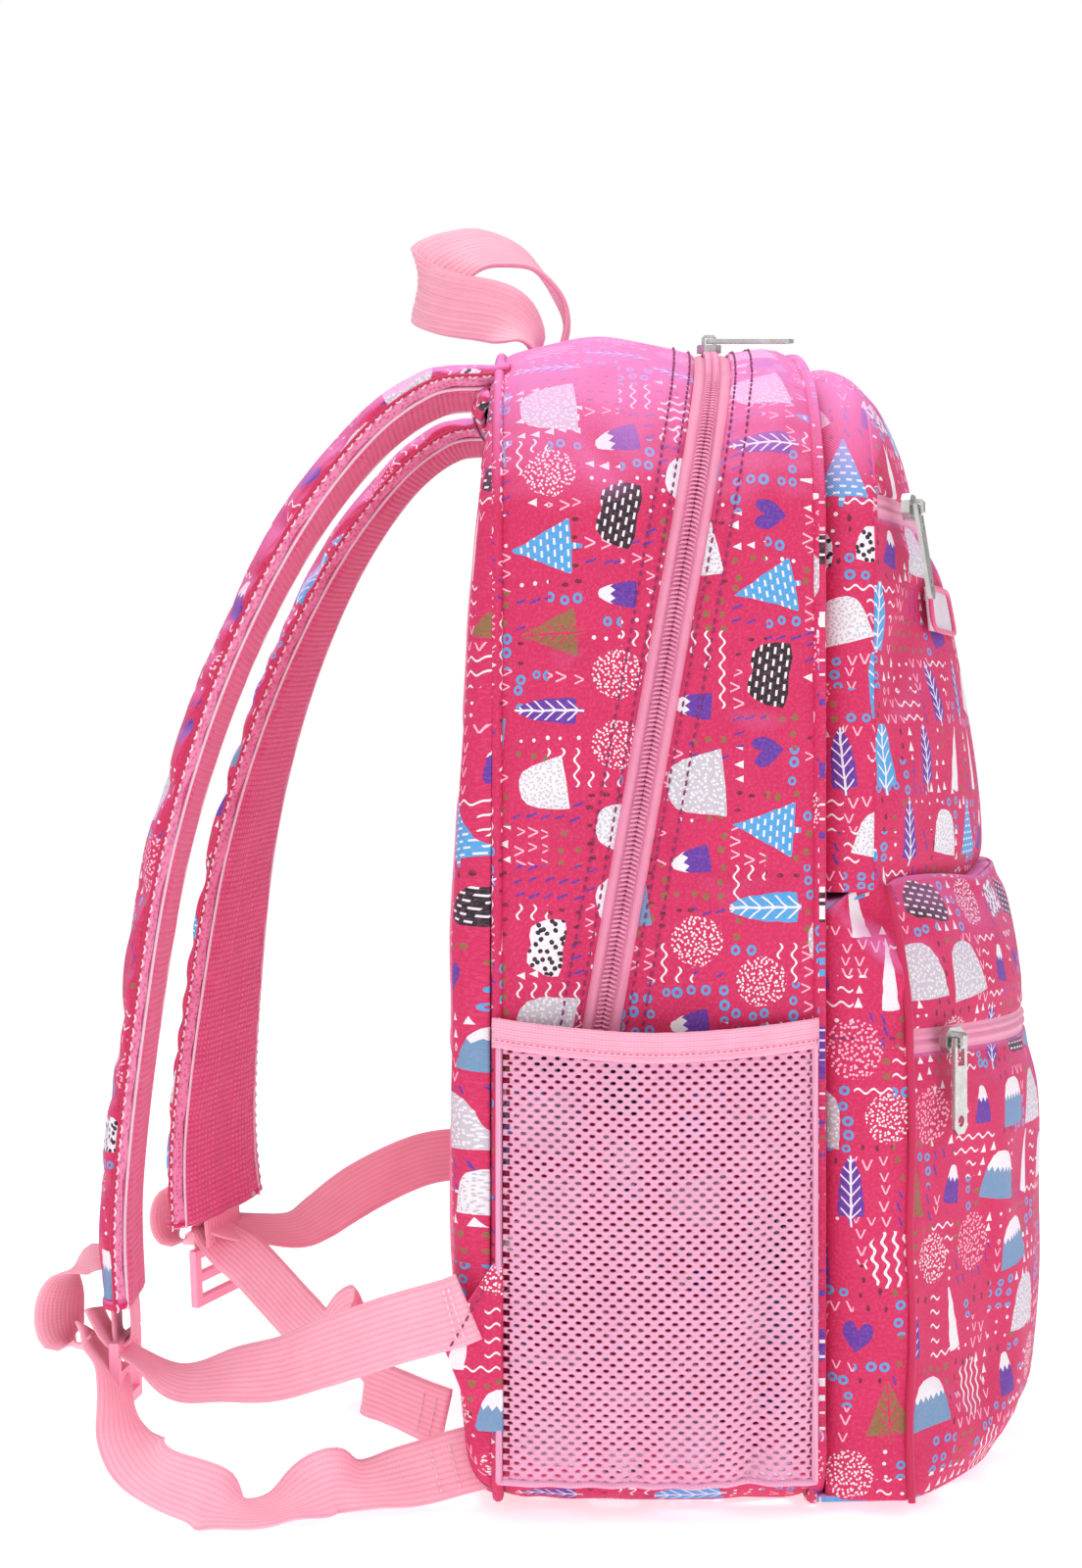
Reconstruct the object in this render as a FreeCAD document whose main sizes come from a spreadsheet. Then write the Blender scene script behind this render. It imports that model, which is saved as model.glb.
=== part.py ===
import FreeCAD, Part
import math
import os
import re
import Sketcher

# School backpack, millimetres. +Z up, -Y is the front with the pockets, +Y is the wearer's side with the straps,
# X runs across the width (-X is the wearer's left). Origin: centre of the main compartment's footprint on the ground.

Vector = FreeCAD.Vector
doc = FreeCAD.newDocument("backpack")

DRIVING_SIZES = {
    # main compartment
    "bag_width": 290, "bag_height": 424, "arch_radius": 260, "top_corner": 70, "base_corner": 30,
    "rear_seam": 55, "front_seam": 56, "fabric": 2, "gap": 0.3, "lining": 0.6,
    "back_crown": 16, "back_rim": 12, "foam_thickness": 10,
    "board_thickness": 3, "board_margin": 22,
    # main zip: its line leans forward on the way up
    "zip_foot_height": 165, "zip_foot_y": 20, "zip_crest_y": -26, "tape_half": 6, "coil_half": 2.8,
    "tape_thickness": 0.8, "coil_height": 1.4,
    # upper front pocket
    "upper_inset": 8, "upper_depth": 20, "upper_base": 216, "upper_lens_top": 420, "upper_lens_half": 137,
    "upper_bulge": 52, "upper_zip_height": 352, "pocket_tape_half": 4,
    "patch_width": 34, "patch_height": 16, "patch_drop": 26, "patch_thickness": 1.2, "patch_x": -84,
    # lower front pocket
    "lower_half": 140, "lower_depth": 30, "lower_base": 4, "lower_top": 212, "lower_bulge": 60,
    "lower_zip_height": 164, "piping_radius": 1.6,
    # mesh side pockets
    "mesh_base": 14, "mesh_top": 165, "mesh_bulge": 14, "mesh_mouth_bulge": 8, "mesh_thickness": 1.2,
    "binding_height": 10, "mesh_end": 53,
    # grab handle
    "handle_half_span": 34, "handle_rise": 62, "handle_lean": 44, "handle_y": 40, "handle_root": 423,
    "webbing_width": 25, "webbing_thickness": 1.6, "ribbon_steps": 5,
    # shoulder straps
    "strap_width": 64, "strap_x": 66, "strap_foam": 8.8, "strap_skin": 1.4, "skin_gap": 1.0,
    "left_spread": 9, "left_twist": 4, "left_reach": 1, "right_spread": 46, "right_twist": 30, "right_reach": 0.93,
    "strap_root_y": 61, "strap_root_z": 404, "yoke_low": 390, "yoke_half": 108, "yoke_thickness": 1.6,
    # ladder locks and webbing tabs
    "lock_width": 36, "lock_height": 26, "lock_thickness": 3.6, "lock_bar": 4, "loop_length": 14,
    "left_adjuster_height": 66, "right_adjuster_height": 78, "adjuster_sag": 22,
    "tab_reach": 19, "tab_low": 34, "tab_high": 94, "tab_thickness": 3,
    # zip sliders and pulls
    "slider_length": 12, "slider_width": 9, "slider_height": 3, "bridge_width": 3, "bridge_height": 4,
    "pull_pin_radius": 0.7, "pull_length": 33, "pull_width": 8, "pull_thickness": 1.5,
    "main_slider_angle": 7, "upper_slider_angle": 21, "lower_slider_angle": 41, "upper_pull_tilt": 9,
    "upper_slider_lift": 1.37,
}

sheet = doc.addObject("Spreadsheet::Sheet", "sizes")
for row, (alias, value) in enumerate(DRIVING_SIZES.items(), start=1):
    cell = f"B{row}"
    sheet.set(f"A{row}", alias)
    sheet.set(cell, str(value))
    sheet.setAlias(cell, alias)
doc.recompute()

ALIAS = re.compile(r"\b(" + "|".join(DRIVING_SIZES) + r")\b")


def cells(formula):
    """The formula with each alias written as a reference to the sheet."""
    return ALIAS.sub(r"sizes.\1", formula)


def size(formula):
    """The formula's value now, for placements and for shapes made by code."""
    return float(sheet.evalExpression(formula))


# ---------------------------------------------------------------- sketches


def new_body(label):
    body = doc.addObject("PartDesign::Body", label)
    body.Label = label
    return body


def new_sketch(body, name, role, offset="0"):
    """A sketch on one of the body's origin planes, moved along that plane's normal."""
    sketch = body.newObject("Sketcher::SketchObject", name)
    plane = [item for item in body.Origin.OriginFeatures if item.Role == role][0]
    sketch.AttachmentSupport = [(plane, "")]
    sketch.MapMode = "FlatFace"
    sketch.setExpression(".AttachmentOffset.Base.z", cells(offset))
    return sketch


def arc_between(start, end, radius):
    """Counter-clockwise minor arc from start to end."""
    chord = end - start
    middle = (start + end) * 0.5
    rise = math.sqrt(max(radius**2 - (chord.Length / 2) ** 2, 0.0))
    centre = middle + Vector(-chord.y, chord.x, 0).normalize() * rise
    first = math.atan2(start.y - centre.y, start.x - centre.x)
    last = math.atan2(end.y - centre.y, end.x - centre.x)
    if last < first:
        last += 2 * math.pi
    return Part.ArcOfCircle(Part.Circle(centre, Vector(0, 0, 1), radius), first, last)


def add_loop(sketch, corners, radii=None):
    """Closed loop through the corners; radii maps an edge's number to its radius, negative for a hollow arc."""
    radii = radii or {}
    points = [Vector(size(x), size(y), 0) for x, y in corners]
    count = len(points)
    ends = []
    for number, start in enumerate(points):
        end = points[(number + 1) % count]
        if number not in radii:
            edge = sketch.addGeometry(Part.LineSegment(start, end))
            ends.append((edge, 1, 2))
            continue
        radius = size(radii[number])
        if radius > 0:
            edge = sketch.addGeometry(arc_between(start, end, radius))
            ends.append((edge, 1, 2))
        else:
            edge = sketch.addGeometry(arc_between(end, start, -radius))
            ends.append((edge, 2, 1))
        held = sketch.addConstraint(Sketcher.Constraint("Radius", edge, abs(radius)))
        sketch.setExpression(f"Constraints[{held}]", f"abs({cells(radii[number])})")
    for number, (x, y) in enumerate(corners):
        edge, start_point, _ = ends[number]
        before, _, end_point = ends[number - 1]
        sketch.addConstraint(Sketcher.Constraint("Coincident", before, end_point, edge, start_point))
        for kind, formula, value in (("DistanceX", x, points[number].x), ("DistanceY", y, points[number].y)):
            held = sketch.addConstraint(Sketcher.Constraint(kind, -1, 1, edge, start_point, value))
            sketch.setExpression(f"Constraints[{held}]", cells(formula))


def add_circle(sketch, x, y, radius):
    edge = sketch.addGeometry(Part.Circle(Vector(size(x), size(y), 0), Vector(0, 0, 1), size(radius)))
    held = sketch.addConstraint(Sketcher.Constraint("Radius", edge, size(radius)))
    sketch.setExpression(f"Constraints[{held}]", cells(radius))
    for kind, formula in (("DistanceX", x), ("DistanceY", y)):
        held = sketch.addConstraint(Sketcher.Constraint(kind, -1, 1, edge, 3, size(formula)))
        sketch.setExpression(f"Constraints[{held}]", cells(formula))


def pad(body, sketch, length):
    feature = body.newObject("PartDesign::Pad", sketch.Name + "_pad")
    feature.Profile = sketch
    feature.setExpression("Length", cells(length))
    return feature


def cut_through(body, sketch):
    feature = body.newObject("PartDesign::Pocket", sketch.Name + "_cut")
    feature.Profile = sketch
    feature.Type = "ThroughAll"
    feature.SideType = "Symmetric"
    return feature


def keep_only(body, name, role, corners, radii=None):
    """Cuts away everything outside the loop, seen along the plane's normal."""
    sketch = new_sketch(body, name, role)
    reach = "bag_height*2"
    frame = [("-" + reach, "-" + reach), (reach, "-" + reach), (reach, reach), ("-" + reach, reach)]
    add_loop(sketch, frame)
    add_loop(sketch, corners, radii)
    return cut_through(body, sketch)


# ---------------------------------------------------------------- outlines

CORNER_X = "(bag_width/2 - top_corner)"
ARCH_CENTRE = "(bag_height - arch_radius)"
CORNER_RISE = f"sqrt((arch_radius - top_corner)^2 - {CORNER_X}^2)"
CORNER_Z = f"({ARCH_CENTRE} + {CORNER_RISE})"


def shoulder(inset):
    """Where the corner arc meets the top arch, for the outline moved inwards."""
    reach = f"(arch_radius - ({inset}))/(arch_radius - top_corner)"
    return f"{CORNER_X}*{reach}", f"{ARCH_CENTRE} + {CORNER_RISE}*{reach}"


def bag_outline(inset):
    half = f"(bag_width/2 - ({inset}))"
    foot = "(bag_width/2 - base_corner)"
    across, high = shoulder(inset)
    corners = [
        (f"-{half}", CORNER_Z), (f"-{half}", "base_corner"), (f"-{foot}", inset), (foot, inset),
        (half, "base_corner"), (half, CORNER_Z), (across, high), (f"-{across}", high),
    ]
    corner, foot_radius = f"top_corner - ({inset})", f"base_corner - ({inset})"
    return corners, {1: foot_radius, 3: foot_radius, 5: corner, 6: f"arch_radius - ({inset})", 7: corner}


def upper_outline(inset, base):
    half = f"(bag_width/2 - ({inset}))"
    across, high = shoulder(inset)
    corners = [
        (f"-{half}", CORNER_Z), (f"-{half}", base), (half, base), (half, CORNER_Z), (across, high), (f"-{across}", high),
    ]
    corner = f"top_corner - ({inset})"
    return corners, {3: corner, 4: f"arch_radius - ({inset})", 5: corner}


def outline_panel(label, front_y, thickness, inset):
    """Flat panel of the bag's outline; it grows towards -Y from its rear face."""
    body = new_body(label)
    sketch = new_sketch(body, label + "_outline", "XZ_Plane", f"-({front_y}) - ({thickness})")
    add_loop(sketch, *bag_outline(inset))
    pad(body, sketch, thickness)
    return body


def outline_ring(label, rear_y, depth, outer, inner):
    """Band that follows the bag's outline, from rear_y towards the front."""
    body = new_body(label)
    sketch = new_sketch(body, label + "_outline", "XZ_Plane", f"-({rear_y})")
    add_loop(sketch, *bag_outline(outer))
    add_loop(sketch, *bag_outline(inner))
    pad(body, sketch, depth)
    return body


# ---------------------------------------------------------------- main compartment

DEPTH = "(rear_seam + front_seam)"
ZIP_SLOPE = "((zip_crest_y - zip_foot_y)/(bag_height - zip_foot_height))"


def zip_line(height):
    return f"(zip_foot_y + {ZIP_SLOPE}*(({height}) - zip_foot_height))"


def zip_strip(label, outer, inner, rear_edge, front_edge):
    """Part of the outline ring between two lines that run beside the zip, above its foot."""
    body = outline_ring(label, "rear_seam", DEPTH, outer, inner)
    low, high = "zip_foot_height", "bag_height*1.1"
    corners = [
        (front_edge(low), low), (rear_edge(low), low), (rear_edge(high), high), (front_edge(high), high),
    ]
    keep_only(body, label + "_strip", "YZ_Plane", corners)
    return body


def beside_zip(distance):
    return lambda height: f"{zip_line(height)} + ({distance})"


def main_compartment():
    rear_edge = lambda height: "rear_seam"
    front_edge = lambda height: "-front_seam"
    zip_strip("rear_zip_gusset", "0", "fabric", rear_edge, beside_zip("tape_half + gap"))
    zip_strip("front_zip_gusset", "0", "fabric", beside_zip("-tape_half - gap"), front_edge)
    tape_out, tape_in = "fabric - tape_thickness", "fabric"
    zip_strip("main_zip_tape_rear", tape_out, tape_in, beside_zip("tape_half"), beside_zip("gap/2"))
    zip_strip("main_zip_tape_front", tape_out, tape_in, beside_zip("-gap/2"), beside_zip("-tape_half"))
    zip_strip(
        "main_zip_coil", f"{tape_out} - coil_height", tape_out, beside_zip("coil_half"), beside_zip("-coil_half"))
    base = outline_ring("base_gusset", "rear_seam", DEPTH, "0", "fabric")
    top = "zip_foot_height - gap"
    reach = "bag_width"
    keep_only(base, "base_gusset_part", "YZ_Plane", [
        (f"-{reach}", f"-{reach}"), (reach, f"-{reach}"), (reach, top), (f"-{reach}", top)])
    outline_ring("main_lining", "rear_seam - 4*gap", f"{DEPTH} - 8*gap", "fabric + gap", "fabric + gap + lining")
    outline_panel("main_front_panel", "-front_seam - gap - fabric", "fabric", "0")
    outline_panel("back_lining", "rear_seam - 3*gap", "lining", "fabric + gap + lining + gap")


def back_panel():
    """Padded back: a crowned shell over its foam."""
    body = outline_panel("back_panel", "rear_seam + gap", "back_crown", "0")
    doc.recompute()
    rim_y = size("rear_seam + gap + back_crown")
    block = body.Tip
    rim = [
        f"Edge{number}" for number, edge in enumerate(block.Shape.Edges, start=1)
        if abs(edge.BoundBox.YMin - rim_y) < 1e-3 and abs(edge.BoundBox.YMax - rim_y) < 1e-3
    ]
    fillet = body.newObject("PartDesign::Fillet", "back_rim_fillet")
    fillet.Base = (block, rim)
    fillet.setExpression("Radius", cells("back_rim"))
    hollow = new_sketch(body, "back_hollow", "XZ_Plane", "-rear_seam - gap - foam_thickness - 2*gap")
    add_loop(hollow, *bag_outline("back_rim"))
    pocket = body.newObject("PartDesign::Pocket", "back_hollow_cut")
    pocket.Profile = hollow
    pocket.setExpression("Length", cells("foam_thickness + 3*gap"))
    pocket.Reversed = True
    strap_zone = new_sketch(body, "strap_zone", "XZ_Plane")
    side, low, high = "yoke_half", "yoke_low", "bag_height*1.1"
    add_loop(strap_zone, [(f"-{side}", low), (side, low), (side, high), (f"-{side}", high)])
    cut_through(body, strap_zone)
    foam = outline_panel("back_foam_pad", "rear_seam + 2*gap", "foam_thickness", "back_rim + gap")
    top = "yoke_low - fabric - gap"
    reach = "bag_width"
    keep_only(foam, "foam_top", "XZ_Plane", [
        (f"-{reach}", f"-{reach}"), (reach, f"-{reach}"), (reach, top), (f"-{reach}", top)])


def strap_yoke():
    """Reinforcing strip at the top of the back, where the straps are sewn in."""
    yoke = outline_panel("strap_yoke", "rear_seam + gap", "yoke_thickness", "0")
    side, low, high = "yoke_half - gap", "yoke_low + gap", "bag_height*1.1"
    keep_only(yoke, "yoke_part", "XZ_Plane", [(f"-({side})", low), (side, low), (side, high), (f"-({side})", high)])


def base_board():
    """Stiff board in the floor of the main compartment."""
    body = new_body("base_board")
    floor = "fabric + lining + 3*gap"
    sketch = new_sketch(body, "base_board_outline", "XY_Plane", floor)
    half, depth = "(bag_width/2 - base_corner)", "(front_seam - board_margin/2)"
    add_loop(sketch, [(f"-{half}", f"-{depth}"), (half, f"-{depth}"), (half, depth), (f"-{half}", depth)])
    pad(body, sketch, "board_thickness")


# ---------------------------------------------------------------- front pockets


def arc_radius(half, rise):
    return f"((({half})^2 + ({rise})^2)/(2*({rise})))"


def front_band(body, name, height, half, back_y, rise, thickness):
    """Plan section of a bulging face: two arcs the same way up, one fabric thickness apart."""
    sketch = new_sketch(body, name, "XY_Plane", height)
    radius = arc_radius(half, rise)
    near = f"{back_y} - ({thickness})"
    add_loop(
        sketch, [(f"-({half})", near), (half, near), (half, back_y), (f"-({half})", back_y)],
        {0: radius, 2: f"-{radius}"})
    return sketch


UPPER_BACK = "(-front_seam - fabric - 2*gap)"
UPPER_SEAM = f"({UPPER_BACK} - upper_depth)"


def lens_rise(height):
    reach = f"((({height}) - upper_base)/(upper_lens_top - upper_base))"
    return f"(upper_bulge*(1 - {reach}^2))"


def lens_slice(label, low, high, proud, thickness):
    """Slice of the upper pocket's lens-shaped face, trimmed to the pocket's outline."""
    body = new_body(label)
    middle = f"((({low}) + ({high}))/2)"
    sections = [
        front_band(
            body, f"{label}_section_{number}", height, "upper_lens_half", f"{UPPER_SEAM} - gap - ({proud})",
            lens_rise(height), thickness)
        for number, height in enumerate((low, middle, high))
    ]
    loft = body.newObject("PartDesign::AdditiveLoft", label + "_loft")
    loft.Profile = sections[0]
    loft.Sections = sections[1:]
    keep_only(body, label + "_trim", "XZ_Plane", *upper_outline("upper_inset", "upper_base - fabric"))
    return body


def upper_pocket():
    body = new_body("upper_pocket_gusset")
    sketch = new_sketch(body, "upper_gusset_outline", "XZ_Plane", f"-{UPPER_BACK}")
    add_loop(sketch, *upper_outline("upper_inset", "upper_base"))
    add_loop(sketch, *upper_outline("upper_inset + fabric", "upper_base + fabric"))
    pad(body, sketch, "upper_depth")
    shut = "(upper_zip_height - pocket_tape_half - gap)"
    open_edge = "(upper_zip_height + pocket_tape_half + gap)"
    lens_slice("upper_pocket_face", "upper_base", shut, "0", "fabric")
    lens_slice("upper_pocket_face_top", open_edge, "upper_lens_top - 3", "0", "fabric")
    lens_slice(
        "upper_zip_tape", "upper_zip_height - pocket_tape_half", "upper_zip_height + pocket_tape_half", "0",
        "tape_thickness")
    lens_slice(
        "upper_zip_coil", "upper_zip_height - coil_half*0.8", "upper_zip_height + coil_half*0.8", "tape_thickness",
        "coil_height")


def lower_slice(label, low, high, proud, thickness):
    body = new_body(label)
    sketch = front_band(
        body, label + "_plan", low, "lower_half", f"{LOWER_SEAM} - gap - ({proud})", "lower_bulge", thickness)
    pad(body, sketch, f"({high}) - ({low})")


LOWER_SEAM = f"({UPPER_BACK} - lower_depth)"


def lower_pocket():
    """The gusset is the pocket's two sides, floor and top, with a curved front edge."""
    body = new_body("lower_pocket_gusset")
    plan = new_sketch(body, "lower_gusset_plan", "XY_Plane", "lower_base")
    half = "lower_half"
    add_loop(
        plan, [(f"-{half}", UPPER_BACK), (f"-{half}", LOWER_SEAM), (half, LOWER_SEAM), (half, UPPER_BACK)],
        {1: arc_radius("lower_half", "lower_bulge")})
    pad(body, plan, "lower_top - lower_base")
    hollow = new_sketch(body, "lower_gusset_hollow", "XZ_Plane")
    inside = "(lower_half - fabric)"
    low, high = "lower_base + fabric", "lower_top - fabric"
    add_loop(hollow, [(f"-{inside}", low), (inside, low), (inside, high), (f"-{inside}", high)])
    cut_through(body, hollow)
    shut = "(lower_zip_height - pocket_tape_half)"
    open_edge = "(lower_zip_height + pocket_tape_half)"
    lower_slice("lower_pocket_face", "lower_base", f"{shut} - gap", "0", "fabric")
    lower_slice("lower_pocket_face_top", f"{open_edge} + gap", "lower_top", "0", "fabric")
    lower_slice("lower_zip_tape", shut, open_edge, "0", "tape_thickness")
    lower_slice(
        "lower_zip_coil", "lower_zip_height - coil_half*0.8", "lower_zip_height + coil_half*0.8", "tape_thickness",
        "coil_height")


def lower_piping():
    """Cords sewn along the two upright edges of the lower pocket."""
    body = new_body("lower_pocket_piping")
    sketch = new_sketch(body, "piping_section", "XY_Plane", "lower_base")
    for side in ("-", ""):
        add_circle(sketch, f"{side}(lower_half + piping_radius + gap)", LOWER_SEAM, "piping_radius")
    pad(body, sketch, "lower_top - lower_base")


def label_patch():
    """Blank sewn patch under the upper zip, bent to the face."""
    body = new_body("label_patch")
    top = "(upper_zip_height - patch_drop)"
    low = f"({top} - patch_height)"
    back = f"{UPPER_SEAM} - 2*gap - fabric"
    sections = [
        front_band(
            body, f"patch_section_{number}", height, "upper_lens_half", back, lens_rise(height), "patch_thickness")
        for number, height in enumerate((low, top))
    ]
    loft = body.newObject("PartDesign::AdditiveLoft", "patch_loft")
    loft.Profile = sections[0]
    loft.Sections = sections[1:]
    left, right = "patch_x - patch_width/2", "patch_x + patch_width/2"
    keep_only(body, "patch_trim", "XZ_Plane", [(left, low), (right, low), (right, top), (left, top)])


# ---------------------------------------------------------------- mesh side pockets


def side_band(body, name, side, height, rise, thickness):
    """Plan section of a mesh pocket: an arc that stands out of the bag's side."""
    sketch = new_sketch(body, name, "XY_Plane", height)
    radius = arc_radius("mesh_end", rise)
    wall = "bag_width/2 + gap"
    outer = f"{side}({wall} + ({thickness}))"
    inner = f"{side}({wall})"
    corners = [(outer, "mesh_end"), (outer, "-mesh_end"), (inner, "-mesh_end"), (inner, "mesh_end")]
    radii = {0: radius, 2: f"-{radius}"}
    if side == "":
        radii = {0: f"-{radius}", 2: radius}
    add_loop(sketch, corners, radii)
    return sketch


def mesh_pocket(name, side):
    body = new_body("mesh_pocket_" + name)
    levels = (("mesh_base", "mesh_mouth_bulge"), ("mesh_base*0.5 + mesh_top*0.5", "mesh_bulge"),
              ("mesh_top", "mesh_mouth_bulge"))
    sections = [
        side_band(body, f"mesh_{name}_{number}", side, height, rise, "mesh_thickness")
        for number, (height, rise) in enumerate(levels)
    ]
    loft = body.newObject("PartDesign::AdditiveLoft", f"mesh_{name}_loft")
    loft.Profile = sections[0]
    loft.Sections = sections[1:]
    floor = new_sketch(body, f"mesh_{name}_floor", "XY_Plane", "mesh_base")
    wall = f"{side}(bag_width/2 + gap)"
    radius = arc_radius("mesh_end", "mesh_mouth_bulge")
    add_loop(floor, [(wall, "mesh_end"), (wall, "-mesh_end")], {0: radius if side else f"-{radius}"})
    pad(body, floor, "mesh_thickness")
    binding = new_body("mesh_binding_" + name)
    band = side_band(binding, f"binding_{name}", side, "mesh_top + gap", "mesh_mouth_bulge", "2*mesh_thickness")
    pad(binding, band, "binding_height")


# ---------------------------------------------------------------- webbing and straps


def between(values, number, part):
    """Point on the smooth curve through the values, between one of them and the next."""
    last = len(values) - 1
    before, start, end, after = (values[min(max(number + step, 0), last)] for step in (-1, 0, 1, 2))
    bend = before * 2 - start * 5 + end * 4 - after
    turn = start * 3 - before - end * 3 + after
    return (start * 2 + (end - before) * part + bend * part**2 + turn * part**3) * 0.5


def loft_ribbon(label, stations, width, thickness, steps=None):
    """Webbing through stations of (centre, direction of its width); a free curve in space.
    A single step between stations makes one smooth face a side, for the thick foam; thin cloth takes short flat steps."""
    steps = steps or int(size("ribbon_steps"))
    centres, widths = [], []
    for number in range(len(stations) - 1):
        for step in range(steps):
            part = step / steps
            centres.append(between([centre for centre, _ in stations], number, part))
            widths.append(between([Vector(across).normalize() for _, across in stations], number, part))
    centres.append(stations[-1][0])
    widths.append(Vector(stations[-1][1]))
    last = len(centres) - 1
    sections = []
    for number, (centre, across) in enumerate(zip(centres, widths)):
        ahead = centres[min(number + 1, last)] - centres[max(number - 1, 0)]
        across = Vector(across).normalize() * (width / 2)
        out = ahead.cross(across).normalize() * (thickness / 2)
        corners = [centre + across + out, centre - across + out, centre - across - out, centre + across - out]
        sections.append(Part.makePolygon(corners + corners[:1]))
    feature = doc.addObject("Part::Feature", label)
    feature.Label = label
    feature.Shape = Part.makeLoft(sections, True, steps > 1)
    return feature


STRAP_LINE = ((61, 404), (82, 401), (107, 382), (135, 344), (161, 290), (180, 228), (191, 160), (197, 100), (196, 62))


def strap_stations(name, side):
    """Centre line of a strap: it spreads outwards and turns about its length on the way down."""
    spread, twist, reach = (size(f"{name}_{word}") for word in ("spread", "twist", "reach"))
    root_y, root_z = size("strap_root_y"), size("strap_root_z")
    fall = root_z - STRAP_LINE[-1][1]
    stations = []
    for y, z in STRAP_LINE:
        down = (root_z - z) / fall
        centre = Vector(side * (size("strap_x") + spread * down), root_y + reach * (y - root_y), z)
        angle = math.radians(twist * down)
        stations.append((centre, Vector(math.cos(angle), -math.sin(angle), 0)))
    return stations


def moved_out(stations, distance):
    """The stations moved away from the bag, square to the strap's face."""
    last = len(stations) - 1
    moved = []
    for number, (centre, across) in enumerate(stations):
        ahead = stations[min(number + 1, last)][0] - stations[max(number - 1, 0)][0]
        moved.append((centre + across.cross(ahead).normalize() * distance, across))
    return moved


def strap(name, side):
    """Foam between a printed outer cloth and an inner air mesh."""
    stations = strap_stations(name, side)
    foam, skin = size("strap_foam"), size("strap_skin")
    apart = (foam + skin) / 2 + size("skin_gap")
    width = size("strap_width")
    loft_ribbon(f"strap_{name}_foam", stations, width, foam, 1)
    loft_ribbon(f"strap_{name}_outer", moved_out(stations, apart), width, skin)
    loft_ribbon(f"strap_{name}_mesh", moved_out(stations, -apart), width, skin)


def strap_end(name, side, along=0.0, out=0.0):
    """Point past the strap's lower end and the width's direction there."""
    stations = strap_stations(name, side)
    centre, across = stations[-1]
    ahead = (centre - stations[-2][0]).normalize()
    return centre + ahead * along + across.cross(ahead).normalize() * out, across, ahead


def ladder_lock(name, side):
    """Moulded frame with three bars, hanging from the loop at the strap's end."""
    body = new_body("ladder_lock_" + name)
    sketch = new_sketch(body, f"lock_{name}_outline", "XZ_Plane", "-lock_thickness/2")
    half, high = "(lock_width/2)", "lock_height"
    add_loop(sketch, [(f"-{half}", f"-{high}"), (half, f"-{high}"), (half, "0"), (f"-{half}", "0")])
    inside = "(lock_width/2 - lock_bar)"
    slot = "((lock_height - 3*lock_bar)/2)"
    for top in ("-lock_bar", f"-2*lock_bar - {slot}"):
        add_loop(sketch, [
            (f"-{inside}", f"{top} - {slot}"), (inside, f"{top} - {slot}"), (inside, top), (f"-{inside}", top)])
    pad(body, sketch, "lock_thickness")
    top, across, ahead = strap_end(name, side, size("loop_length"))
    body.Placement = FreeCAD.Placement(top, FreeCAD.Rotation(across, ahead.cross(across) * -1, ahead * -1, "ZXY"))


def lock_loop(name, side):
    """Short doubled webbing that carries the ladder lock on the strap's end."""
    top, across, _ = strap_end(name, side, size("gap"))
    low, across, _ = strap_end(name, side, size("loop_length - 2 - gap"))
    loft_ribbon("lock_loop_" + name, [(top, across), (low, across)], size("webbing_width"),
                2 * size("webbing_thickness"))


def webbing(name, side):
    """Adjuster from the lock to the tab on the bag, and the free tail that lies on the ground."""
    width, thickness = size("webbing_width"), size("webbing_thickness")
    middle_of_lock = size("loop_length + lock_height/2")
    up = Vector(0, 0, 1)
    sewn = Vector(
        side * size("bag_width/2 + tab_thickness + 3*gap"), size("rear_seam + tab_reach + 4*gap"),
        size(f"{name}_adjuster_height"))
    start, _, _ = strap_end(name, side, middle_of_lock, -size("lock_thickness + 2"))
    reach = start - sewn
    sag = size("adjuster_sag")
    loft_ribbon("adjuster_webbing_" + name, [
        (sewn, up),
        (sewn + Vector(0.02 * reach.x, 0.36 * reach.y, -0.7 * sag), up),
        (sewn + Vector(0.30 * reach.x, 0.70 * reach.y, -sag), up),
        (start - Vector(0, 6, 1), up),
    ], width, thickness)
    lowest = width / 2 + size("fabric")
    root, _, _ = strap_end(name, side, middle_of_lock, size("lock_thickness + 1"))
    outermost = side * size("bag_width/2 + 13")
    loft_ribbon("webbing_tail_" + name, [
        (root, up),
        (Vector(root.x + side * 30, root.y + 2, lowest + 4), up),
        (Vector(outermost, root.y - 36, lowest), up),
        (Vector(outermost - side * 2, size("rear_seam + 73"), lowest), up),
        (Vector(outermost - side * 30, size("rear_seam + 45"), lowest), up),
        (Vector(outermost - side * 62, size("rear_seam + 29"), lowest), up),
    ], width, thickness)


def webbing_tab(name, side):
    """Triangle of fabric sewn into the rear seam, where the adjuster starts."""
    body = new_body("webbing_tab_" + name)
    inner = "bag_width/2 + gap"
    offset = inner if side > 0 else f"-({inner}) - tab_thickness"
    sketch = new_sketch(body, f"tab_{name}_outline", "YZ_Plane", offset)
    root, tip = "rear_seam + 2*gap", "rear_seam + tab_reach"
    add_loop(sketch, [(root, "tab_low"), (tip, "(tab_low + tab_high)/2"), (tip, "(tab_low + tab_high)/2 + 8"),
                      (root, "tab_high")])
    pad(body, sketch, "tab_thickness")


def grab_handle():
    """Arched webbing loop that leans back further the higher it gets."""
    half, rise = size("handle_half_span"), size("handle_rise")
    root = Vector(0, size("handle_y"), size("handle_root"))
    steps = 12
    stations = []
    for step in range(steps + 1):
        angle = math.pi * (1 - step / steps)
        height = math.sin(angle) ** 0.8
        lean = FreeCAD.Rotation(Vector(1, 0, 0), -size("handle_lean") * height)
        arch = Vector(half * math.cos(angle), 0, rise * height)
        stations.append((root + lean.multVec(arch), lean.multVec(Vector(0, 1, 0))))
    loft_ribbon("grab_handle", stations, size("webbing_width"), size("webbing_thickness"))


# ---------------------------------------------------------------- zip sliders


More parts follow.
